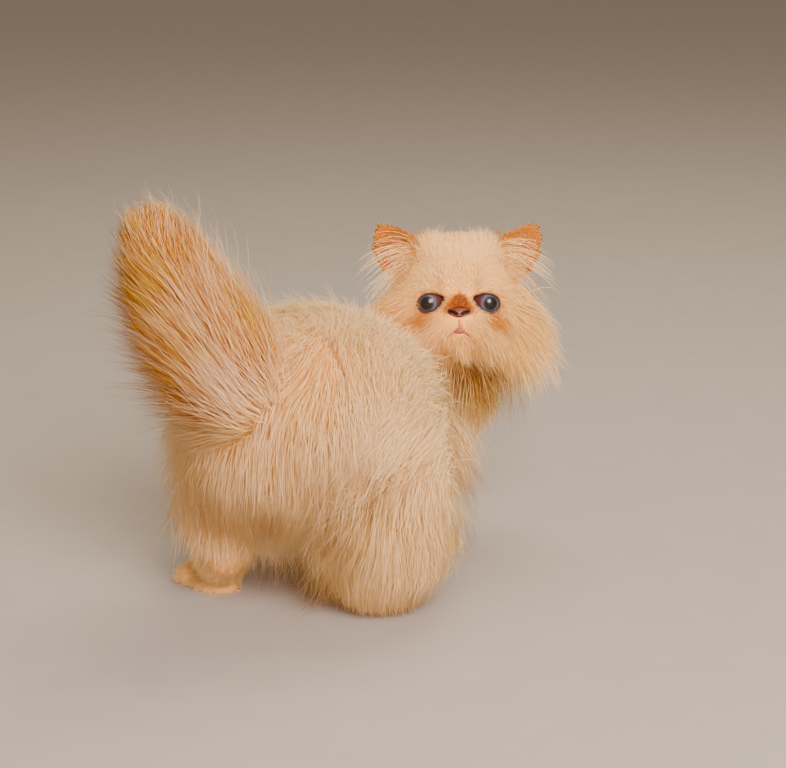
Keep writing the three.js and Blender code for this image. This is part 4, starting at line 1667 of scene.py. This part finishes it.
@dataclass
class Fleece:
    """The whole coat: the long coat of each part, and the fur of face, ruff, ears and paws."""

    kitten: Kitten
    skin: Skin
    place: Frame
    markings: Markings
    furs: tuple[tuple[str, Fur], ...] = (
        ("body_fur", Fur()),
        # The face's coat has the strongest painted glow, painted light that brightens the face.
        ("face_fur", Fur("face_fur", pale=(255, 188, 84), contrast=0.45, glow=0.48)),
        ("point_fur", Fur("point_fur", flame=(178, 80, 6), contrast=0.25, glow=0.12)),
    )

    def along(
        self, part: Limb, along: float, down: float, out: float = 0.0
    ) -> Callable[[Array], Array]:
        """A lie along a part's line, with some of it straight down and some away from its line."""

        def lie(points: Array) -> Array:
            t = part.nearest(points)
            away = unit(points - part.line.at(t))
            return part.line.tangent(t) * along - UP * down + away * out

        return lie

    def body_lie(self, points: Array) -> Array:
        """Over the body the hair lies back along the spine, and down over flanks and legs."""
        torso = self.kitten.torso
        low = fall(points[:, 2], 55, 112)[:, None]
        back = -torso.line.tangent(torso.nearest(points))
        over = smoothstep(points[:, 1], 35, 80)[:, None] * 0.85
        way = back * mix(1.0, 0.75, low) - UP * mix(0.12, 1.15, low)
        return mix(way, np.broadcast_to(vec(0.5, -0.2, -0.8), way.shape), over)

    def head_lie(self, points: Array) -> Array:
        """On the head the hair lies away from the nose, over the crown and down the cheeks."""
        local = self.kitten.head.local(points)
        away = unit(local - vec(0, 27, -4))
        low = fall(local[:, 2], -14, 8)[:, None]
        out = vec(1, 0, 0) * np.sign(local[:, :1]) * 0.6
        way = away + low * (vec(0, -0.1, -0.7) + out)
        return way @ self.kitten.head.turn.T

    def ruff_lie(self, points: Array) -> Array:
        """Over the cheeks and the throat the hair hangs outward and down."""
        local = self.kitten.head.local(points)
        out = np.clip(local[:, :1] / 22, -1, 1) * vec(1.0, 0, 0)
        low = fall(local[:, 2:], -10, 12)
        return (out + vec(0, -0.15, 0) + low * vec(0, 0, -0.75)) @ self.kitten.head.turn.T

    def long_coats(self) -> dict[str, Coat]:
        """The long coat of each part."""
        parts = self.kitten.parts()

        def coat(
            name: str, count: int, lie: Callable[[Array], Array], **sizes: object
        ) -> dict[str, Coat]:
            others = [p for n, p in parts.items() if n != name]
            return {name: Coat(parts[name], others, count, lie, **sizes)}

        def faded(axis: Array, low: float, high: float, least: float) -> Callable[[Array], Array]:
            """From the share least of the coat, low along an axis, to all of it, high along it."""
            return lambda points: mix(least, 1.0, smoothstep(points @ axis, low, high))

        body, up = self.body_lie, UP
        on_neck = self.along(self.kitten.neck, -1, 0.6)
        on_tail = self.along(self.kitten.tail, 1, -0.1)
        chest = faded(-AHEAD, -92, -66, 0.5)
        thigh, left = faded(up, 8, 28, 0.4), faded(up, 24, 58, 0.18)
        nape = faded(up, 84, 112, 0.35)
        plush = {"frizz": 0.12, "ragged": 0.12, "gather": 0.35, "stand": 1.8, "tuck": self.tucked}
        fore = {"reach": 1.5, "trim": faded(up, 10, 90, 0.45)}
        crown = {"width": 0.9, "frizz": 0.15, "stand": 1.8, "trim": self.crown, "slot": "face_fur"}
        point = {"slot": "point_fur"}
        return {
            **coat("torso", 24500, body, seed=1, reach=1.3, out=1.08, trim=chest, **plush),
            **coat("neck", 6500, on_neck, seed=2, reach=1.4, frizz=0.15, trim=nape),
            **coat("tail", 13500, on_tail, seed=3, reach=1.3, frizz=0.12, stand=1.5, **point),
            **coat("hind_left", 8800, body, seed=4, reach=1.3, trim=left, **plush),
            **coat("hind_right", 13000, body, seed=5, reach=1.35, trim=thigh, **plush),
            **coat("fore_left", 3000, body, seed=6, **fore),
            **coat("fore_right", 3000, body, seed=7, **fore),
            **coat("head", 11500, self.head_lie, seed=8, reach=1.3, **crown),
        }

    def tucked(self, lines: Array) -> Array:
        """Low on the right hind leg the coat tucks in, round and clear of the floor.

        Args:
            lines: The line of each tuft.

        Returns:
            The lines, drawn towards the leg's middle low down and lifted onto a ragged cone.
        """
        middle, core, cone, lowest, top = np.array([39, 8]), 18, 15, 0.3, 34
        x, y, z = np.moveaxis(lines, -1, 0)
        off = np.stack([x, y], -1) - middle
        far = np.linalg.norm(off, axis=-1)
        near = smoothstep(x, 8, 24) * fall(y, 45, 75)
        keep = mix(1.0, mix(lowest, 1.0, smoothstep(z, 0, top)), near)
        held = np.minimum(far, core) + np.maximum(far - core, 0) * keep
        moved = lines.copy()
        moved[..., :2] = off * (held / np.maximum(far, 1e-6))[..., None] + middle
        slope = 0.8 * (0.6 + 0.4 * np.sin(37 * x[:, :1] + 53 * y[:, :1]))
        moved[..., 2] = np.maximum(z, slope * (held - cone) * near * fall(z, 25, 40))
        return moved

    def crown(self, points: Array) -> Array:
        """The hair of the crown is shortest along its middle, so that the head stays broad."""
        local = self.kitten.head.local(points)
        middle = fall(np.abs(local[:, 0]), 8, 24) * smoothstep(local[:, 2], 12, 24)
        return mix(1.0, 0.75, middle)

    def near_face(self, local: Array, clear: float = 0.1) -> Array:
        """How far the face's fur may grow at points, leaving out eyes, nose and mouth."""
        on = np.ones(len(local))
        for eye in self.skin.eyes:
            on *= smoothstep(-eye.opening(local), clear, clear + 1.5)
        nose = np.hypot(local[:, 0] / 5.9, (local[:, 2] + 5.3) / 2.6)
        gaps = [gap_to_line(local[:, (0, 2)], np.array(line)) for line in MOUTH_LINES]
        lip = np.hypot(local[:, 0] / 2.3, (local[:, 2] + 14.4) / 1.5)
        on = on * smoothstep(nose, 0.95, 1.2) * smoothstep(np.min(gaps, 0), 0.2, 1.0)
        return on * smoothstep(lip, 0.55, 1.0)

    def naps(self) -> dict[str, Nap]:
        """The fur of face, ruff, ears and paws.

        Its regions say how much of it grows at points, on the head in the head's own frame.
        """
        head, ruff = self.kitten.head, self.ruff_lie
        across = vec(1, 0, 0)

        def on_head(region: Callable[[Array], Array]) -> Callable[[Array], Array]:
            return lambda points: region(head.local(points))

        def lie(way: Callable[[Array], Array]) -> Callable[[Array], Array]:
            """A lie given for each side of the head, -1 or 1, in its own frame."""
            return lambda points: way(np.sign(head.local(points)[:, :1])) @ head.turn.T

        def near(local: Array, far: float) -> Array:
            return np.linalg.norm(local, axis=-1) < far

        def on_face(local: Array) -> Array:
            front = smoothstep(unit(local)[:, 1], 0.35, 0.6) * near(local, 45)
            off = np.linalg.norm(local[:, (0, 2)] - [0, -4], axis=-1)
            return front * self.near_face(local) * mix(0.32, 1.0, smoothstep(off, 5, 20))

        def on_muzzle(local: Array) -> Array:
            x, z = np.abs(local[:, 0]), local[:, 2]
            on = (local[:, 1] > 12) * near(local, 42)
            on = on * fall(z, -13, -7.5) * smoothstep(x, 1.6, 4.0)
            return on * self.near_face(local, 1.5) * mix(0.3, 1.0, smoothstep(x, 3, 15))

        def on_chin(local: Array) -> Array:
            x = np.abs(local[:, 0])
            on = (local[:, 1] > 10) * near(local, 42)
            on = on * fall(local[:, 2], -18, -15.5) * fall(x, 5, 9)
            return on * self.near_face(local) * mix(1.6, 0.7, smoothstep(x, 0.5, 4))

        def on_cheeks(local: Array) -> Array:
            x, y, z = unit(local).T
            on = smoothstep(np.abs(x), 0.45, 0.8) * smoothstep(y, -0.45, -0.1)
            on *= fall(z, -0.15, 0.5) * near(local, 48)
            return on * fall(y, 0.5, 0.75)

        def on_throat(local: Array) -> Array:
            x, y, z = local.T
            on = fall(z, -27, -23) * smoothstep(y, -8, 4) * (z > -52)
            return on * fall(np.abs(x), 16, 26)

        def on_crown(local: Array) -> Array:
            x = np.abs(local[:, 0])
            on = smoothstep(local[:, 2], 15, 21) * mix(0.45, 1.0, smoothstep(x, 2, 14))
            on = on * fall(x, 19, 26)
            return on * smoothstep(local[:, 1], -14, -6) * near(local, 40)

        def on_ears(local: Array) -> Array:
            found = np.zeros(len(local))
            for side in (1, -1):
                base, _, way, front = Ear(side).axes()
                t = Ear(side).share_up(local)
                x = np.abs((local - base) @ way) / Ear(side).wide
                on = (t > 0.05) & (x < 1.3) & (np.abs((local - base) @ front) < 12)
                found = np.maximum(found, on * mix(1.0, 0.55, smoothstep(t, 0.3, 1.0)))
            return found

        def on_paws(points: Array) -> Array:
            z = points[:, 2]
            found = np.zeros(len(points))
            for paw in PAWS:
                on = (paw.beside(points) < 26) & (z < paw.fur_top) & (z > 1.2)
                found = np.maximum(found, on)
            return found * mix(0.5, 1.0, smoothstep(z, 4, 30))

        def paw_lie(points: Array) -> Array:
            found = np.zeros((len(points), 3))
            for paw in PAWS:
                found[paw.beside(points) < 28] = paw.lie()
            return found - UP * mix(0.1, 2.0, smoothstep(points[:, 2], 12, 28))[:, None]

        def down(points: Array) -> Array:
            return 0.2 * unit(ruff(points)) - UP

        up = lie(lambda side: vec(0, -0.3, 1.0) + 0.4 * across * side)
        ear = lie(lambda side: side * 0.6 * across + vec(0, -0.2, 0.6))
        face, muzzle, chin, cheeks, throat, crown, ears = (
            on_head(region)
            for region in (on_face, on_muzzle, on_chin, on_cheeks, on_throat, on_crown, on_ears)
        )
        mixed = {"stray": 0.16, "seed": 54, "mottle": 0.9}
        soft = {"gather": 0.4, "steps": 3}
        body, point = {"slot": "body_fur", "mottle": 0.9}, {"slot": "point_fur"}
        return {
            "face": Nap(face, 2.6, 5.5, 0.45, self.head_lie, seed=51),
            "muzzle": Nap(muzzle, 2.2, 15, 0.32, ruff, 0.36, 0.12, gather=0.5, steps=3, **mixed),
            "chin": Nap(chin, 2.2, 7, 0.4, down, 0.3, 0.2, seed=55, **soft),
            "ruff": Nap(cheeks, 1.6, 24, 0.4, ruff, 0.75, 0.35, 0.8, stray=0.3, seed=56, steps=4),
            "throat": Nap(throat, 1.2, 22, 0.6, down, 0.3, 0.2, stray=0.15, seed=57, **soft),
            "crown": Nap(crown, 1.6, 8.5, 0.34, up, 0.8, stray=0.35, seed=58, steps=3, mottle=0.5),
            "ears": Nap(ears, 1.8, 4.5, 0.5, ear, 0.3, seed=52, **point),
            "paws": Nap(on_paws, 1.7, 10, 0.46, paw_lie, 0.38, stray=0.3, seed=53, **body),
        }

    def ear_tufts(self) -> Tufts:
        """Long pale hair that fans out of each ear's inner edge, across its cup, and droops."""
        rng = np.random.default_rng(70)
        head, count, first, last = self.kitten.head, 120, -0.25, 0.22
        s = np.linspace(0, 1, 7)
        rows, normals = [], []
        for side in (1, -1):
            ear = Ear(side)
            front = ear.axes()[3]
            t = rng.uniform(first, last, count)
            root = ear.sheet(-rng.uniform(0.35, 1.0, count), t, 0.8)
            fan = mix(-30, 14, np.clip((t - first) / (last - first), 0, 1))
            slope = np.radians(fan + rng.normal(size=count) * 12)
            long = rng.uniform(12, 36, count)
            forward = 0.3 + 0.15 * rng.normal(size=count)
            way = np.stack([side * np.cos(slope), forward, np.sin(slope) + 0.2], -1)
            reach = unit(way) * long[:, None]
            sag = UP * (-0.5 * long)[:, None]
            line = root[:, None] + reach[:, None] * s[None, :, None]
            rows.append(line + sag[:, None] * (s**2.2)[None, :, None])
            normals.append(np.tile(front + UP * 0.4, (count, len(s), 1)))
        lines = head.placed(np.concatenate(rows).reshape(-1, 3)).reshape(-1, len(s), 3)
        normal = unit(np.concatenate(normals) @ head.turn.T)
        number = len(lines)
        half = 0.5 * rng.uniform(0.22, 0.45, number)
        flame = rng.uniform(0, 0.2, number)
        return Tufts(lines, half, normal, rng.uniform(0.5, 1, number), flame, np.zeros(number))

    def build(self) -> None:
        """Grows all of it."""
        finishes = {slot: fur.coat() for slot, fur in self.furs}

        def add(piece: str, tufts: Tufts, slot: str) -> int:
            made = tuft_pieces(piece, tufts, self.skin, self.place, finishes[slot], slot)
            LOG.info("%s: %d triangles", piece, made)
            return made

        total = 0
        for name, coat in self.long_coats().items():
            for layer in Layer:
                tufts = coat.grown(self.markings, layer)
                total += add(f"coat_{name}_{layer.name.lower()}", tufts, coat.slot)
        for name, nap in self.naps().items():
            total += add(f"fur_{name}", nap.grown(self.skin, self.markings), nap.slot)
        total += add("ear_tufts", self.ear_tufts(), "face_fur")
        LOG.info("coat in all: %d triangles", total)


def tube(line: Line, half: tuple[float, float], bluntness: float, along: int) -> Form:
    """A tapered tube along a line of the face.

    Args:
        line: The line.
        half: Its half-width and half-height.
        bluntness: How slowly it tapers to its ends, more slowly for less.
        along: Bands from end to end.

    Returns:
        The tube.
    """
    wide, high = half

    def place(v: Array, angle: Array) -> Array:
        t = eased(v)
        ahead = line.tangent(t)
        side = unit(np.cross(ahead, AHEAD))
        rise = np.cross(side, ahead)
        out = side * (np.cos(angle) * wide)[:, None] + rise * (np.sin(angle) * high)[:, None]
        return line.at(t) + out * (np.sin(np.pi * v) ** bluntness)[:, None]

    return ball_form(10, along, place)


@dataclass
class Face:
    """The bare parts of the face: eyes, lids, nose, lips and whiskers."""

    kitten: Kitten
    place: Frame

    def ridden(
        self, made: bpy.types.Object, material: bpy.types.Material
    ) -> None:
        """Finishes a piece and lets it ride on the body."""
        made.data.materials.append(material)
        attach(made, BODY)
        LOG.info("%s: %d faces", made.name, len(made.data.polygons))

    def eye(self, name: str, side: int) -> None:
        """One eye, wet and round."""
        eye, head = Eye(side), self.kitten.head
        form = eye.globe(64, 64)
        made = new_mesh(f"{name}_ball", form.moved(head.placed), self.place)
        write_values(made.data, off_gaze=eye.off_gaze(form.corners))
        self.ridden(made, Iris().material(eye))
        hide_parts(name)

    def lids(self, name: str, side: int, material: bpy.types.Material) -> None:
        """The rims of the lids of one eye."""
        eye, head = Eye(side), self.kitten.head
        over = eye.radius + 0.35 + eye.bulge * 0.4
        forms = []
        for edge in eye.lids(18):
            p = edge * np.array([1.03, 1.05])
            y = np.sqrt(np.maximum(over**2 - (p**2).sum(-1), 0))
            line = Line(np.stack([p[:, 0], y, p[:, 1]], -1) + eye.middle())
            forms.append(tube(line, (0.9, 0.9), 0.4, 28))
        form = together(forms)
        made = new_mesh(name, form.moved(head.placed), self.place)
        write_values(made.data, deep=np.zeros(len(form.corners)))
        self.ridden(made, material)

    def pad(self, half: tuple[float, float], flare: float, at_z: float, lift: float) -> Form:
        """A bare pad that follows the face, in the head's frame.

        Args:
            half: Its half-width and half-height.
            flare: How much broader it is above than below.
            at_z: The height of its middle.
            lift: How far it stands out.

        Returns:
            The pad.
        """
        head = self.kitten.head

        def place(v: Array, angle: Array) -> Array:
            ring = np.sin(np.pi * v) ** 0.7
            up = ring * np.sin(angle)
            deep = -np.cos(np.pi * v)
            x = half[0] * (1 + flare * up) * ring * np.cos(angle)
            p = head.face(x, at_z + half[1] * up)
            p[:, 1] += np.where(deep > 0, lift * deep, 3.2 * deep)
            return p

        return ball_form(64, 48, place)

    def nose(self) -> None:
        """The nose leather, broad above, with its nostrils sunk in it and painted dark as shade."""
        head = self.kitten.head
        form = self.pad((5.6, 2.3), 0.38, -5.2, 1.3)
        p = form.corners
        front = smoothstep(p[:, 1] - head.face(p[:, 0], p[:, 2])[:, 1], -0.2, 0.5)
        deep = np.zeros(len(p))
        nostril = np.array([(1.5, -5.7), (3.1, -5.0), (5.0, -4.6)])
        for side in (1, -1):
            gap = gap_to_line(p[:, (0, 2)], nostril * [side, 1])
            hole = np.exp(-((gap / 0.62) ** 2)) * front
            p[:, 1] -= 1.5 * hole
            deep = np.maximum(deep, hole)
        groove = np.exp(-((p[:, 0] / 0.4) ** 2)) * front * fall(p[:, 2], -6.4, -5.2)
        p[:, 1] -= 0.4 * groove
        made = new_mesh("nose_leather", form.moved(head.placed), self.place)
        # The nostrils and the groove are painted darker, as shade in these hollows.
        write_values(made.data, deep=np.clip(1.6 * deep + 0.5 * groove, 0, 1))
        self.ridden(made, Leather("nose", (104, 34, 18), (18, 7, 5)).material())
        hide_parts("nose")

    def mouth(self) -> None:
        """The dark line of the mouth and the pink lower lip."""
        head = self.kitten.head
        rolls = []
        for points in np.array(MOUTH_LINES, float):
            line = Line(head.face(points[:, 0], points[:, 1], SKIN_SHARE, -0.7))
            rolls.append(tube(line, (0.28, 0.5), 0.6, 20))
        lip = self.pad((2.3, 1.4), -0.55, -14.4, 0.3)
        dark = Leather("mouth_line", (156, 76, 54), (138, 66, 44))
        pink = Leather("lips", (142, 60, 44), (124, 52, 36))
        for name, form, deep, leather in (
            ("mouth_line", together(rolls), 0.2, dark),
            ("lower_lip", lip, 0.0, pink),
        ):
            made = new_mesh(name, form.moved(head.placed), self.place)
            write_values(made.data, deep=np.full(len(form.corners), deep))
            self.ridden(made, leather.material())

    def whiskers(self, skin: Skin) -> None:
        """Fine white whiskers on both pads and above the eyes."""
        rng = np.random.default_rng(90)
        head = self.kitten.head
        s = np.linspace(0, 1, 9)[:, None]
        lines = []
        for side in (1, -1):
            for x, z in ((8, -12), (10, -11.5), (9, -14.5)):
                forward, up = 0.28 + 0.1 * rng.normal(), -0.18 + 0.22 * rng.normal()
                reach = unit(vec(side, forward, up)) * s + vec(0, -0.25, -0.3) * s**2
                lines.append(head.face(x * side, z) + reach * rng.uniform(14, 24))
            for x, z in ((13, 10), (16, 9)):
                reach = unit(vec(side * 0.5, 0.7, 0.9)) * s + vec(0, -0.4, 0) * s**2
                lines.append(head.face(x * side, z) + reach * rng.uniform(12, 16))
        count = len(lines)
        placed = head.placed(np.array(lines).reshape(-1, 3)).reshape(count, len(s), 3)
        zero, half = np.zeros(count), np.full(count, 0.07)
        tufts = Tufts(placed, half, np.tile(UP, (count, len(s), 1)), np.ones(count), zero, zero)
        finish = Finish("whisker")
        white = shade(250, 244, 236)
        material = finish.finished(Base_Color=white, Roughness=0.35, Specular_IOR_Level=0.5)
        tuft_pieces("whiskers", tufts, skin, self.place, material, "face_fur")

    def build(self, skin: Skin) -> None:
        """Builds them all."""
        rim = Leather("lid_rims", (58, 32, 24), (30, 18, 14)).material()
        for name, side in (("right", 1), ("left", -1)):
            self.eye(f"eye_{name}", side)
            self.lids(f"lids_{name}", side, rim)
        self.nose()
        self.mouth()
        self.whiskers(skin)


@dataclass(frozen=True)
class Lamp:
    """A soft rectangular light: where it stands, its size, its power and its colour."""

    name: str
    at: tuple[float, float, float]
    size: float
    power: float
    colour: tuple[float, float, float]


@dataclass
class Studio:
    """The floor, the lights and the camera."""

    place: Frame
    aim: tuple[float, float, float] = (29.5, 53.3, 99)
    azimuth: float = 20
    elevation: float = 16
    distance: float = 1000
    lens: float = 91.6
    lit: tuple[float, float, float] = (0, 0, 0.1)
    floor_half: float = 6
    world: tuple[float, float, float, float] = (1.0, 0.8, 0.6, 1)
    world_strength: float = 0.5
    lamps: tuple[Lamp, ...] = (
        Lamp("key", (0.75, -0.95, 0.85), 0.7, 50, (1.0, 0.86, 0.78)),
        Lamp("fill", (-0.9, -0.7, 0.7), 1.0, 1.5, (1.0, 0.62, 0.25)),
        Lamp("top", (0.1, 0.5, 1.3), 0.9, 16, (1.0, 0.85, 0.66)),
    )

    def look(self, made: bpy.types.Object, target: Vector) -> None:
        """Turns an object to face a target."""
        made.rotation_mode = "QUATERNION"
        made.rotation_quaternion = (target - made.location).to_track_quat("-Z", "Y")

    def build(self) -> None:
        """Sets them up."""
        target = Vector(self.place.metres(vec(*self.aim)))
        a, e = math.radians(self.azimuth), math.radians(self.elevation)
        back = Vector((math.sin(a) * math.cos(e), -math.cos(a) * math.cos(e), math.sin(e)))
        data = bpy.data.cameras.new("camera")
        data.lens, data.sensor_width, data.clip_start, data.clip_end = self.lens, 36, 0.05, 50
        camera = linked("camera", data)
        camera.location = target + back * self.distance * MM
        self.look(camera, target)
        bpy.context.scene.camera = camera
        for lamp in self.lamps:
            light = bpy.data.lights.new(lamp.name, "AREA")
            light.shape, light.size = "SQUARE", lamp.size
            light.energy, light.color = lamp.power, lamp.colour
            made = linked(lamp.name, light)
            made.location = lamp.at
            self.look(made, Vector(self.lit))
        world = bpy.data.worlds.new("studio")
        world.use_nodes = True
        background = world.node_tree.nodes["Background"]
        background.inputs["Color"].default_value = self.world
        background.inputs["Strength"].default_value = self.world_strength
        bpy.context.scene.world = world
        mesh = bpy.data.meshes.new("floor")
        h = self.floor_half
        mesh.from_pydata([(-h, -h, 0), (h, -h, 0), (h, h, 0), (-h, h, 0)], [], [(0, 1, 2, 3)])
        floor = linked("floor", mesh)
        finish = Finish("floor")
        grain = finish.noise(40, 3)
        colour = finish.blend(shade(150, 144, 138), shade(158, 152, 146), grain)
        mesh.materials.append(finish.finished(Base_Color=colour, Roughness=0.9))
        floor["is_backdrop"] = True


def main() -> None:
    """Builds the whole scene, piece by piece."""
    logging.basicConfig(level=logging.INFO, format="%(name)s: %(message)s")
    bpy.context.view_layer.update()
    kitten = Kitten()
    place = Frame(kitten.head)
    LOG.info("shift %s", place.shift.round(2).tolist())
    markings = Markings(kitten)
    skin = Skin(kitten, place, markings)
    skin.mesh.materials.append(Fur().skin())
    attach(skin.object, BODY)
    flesh = ("torso", "neck", "head", "ear_left", "ear_right", "tail")
    legs = ("hind_leg_left", "hind_leg_right", "foreleg_left", "foreleg_right")
    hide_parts(*flesh, *legs)
    LOG.info("skin: %d faces", len(skin.mesh.polygons))
    Fleece(kitten, skin, place, markings).build()
    Face(kitten, place).build(skin)
    Studio(place).build()


if __name__ == "__main__":
    main()
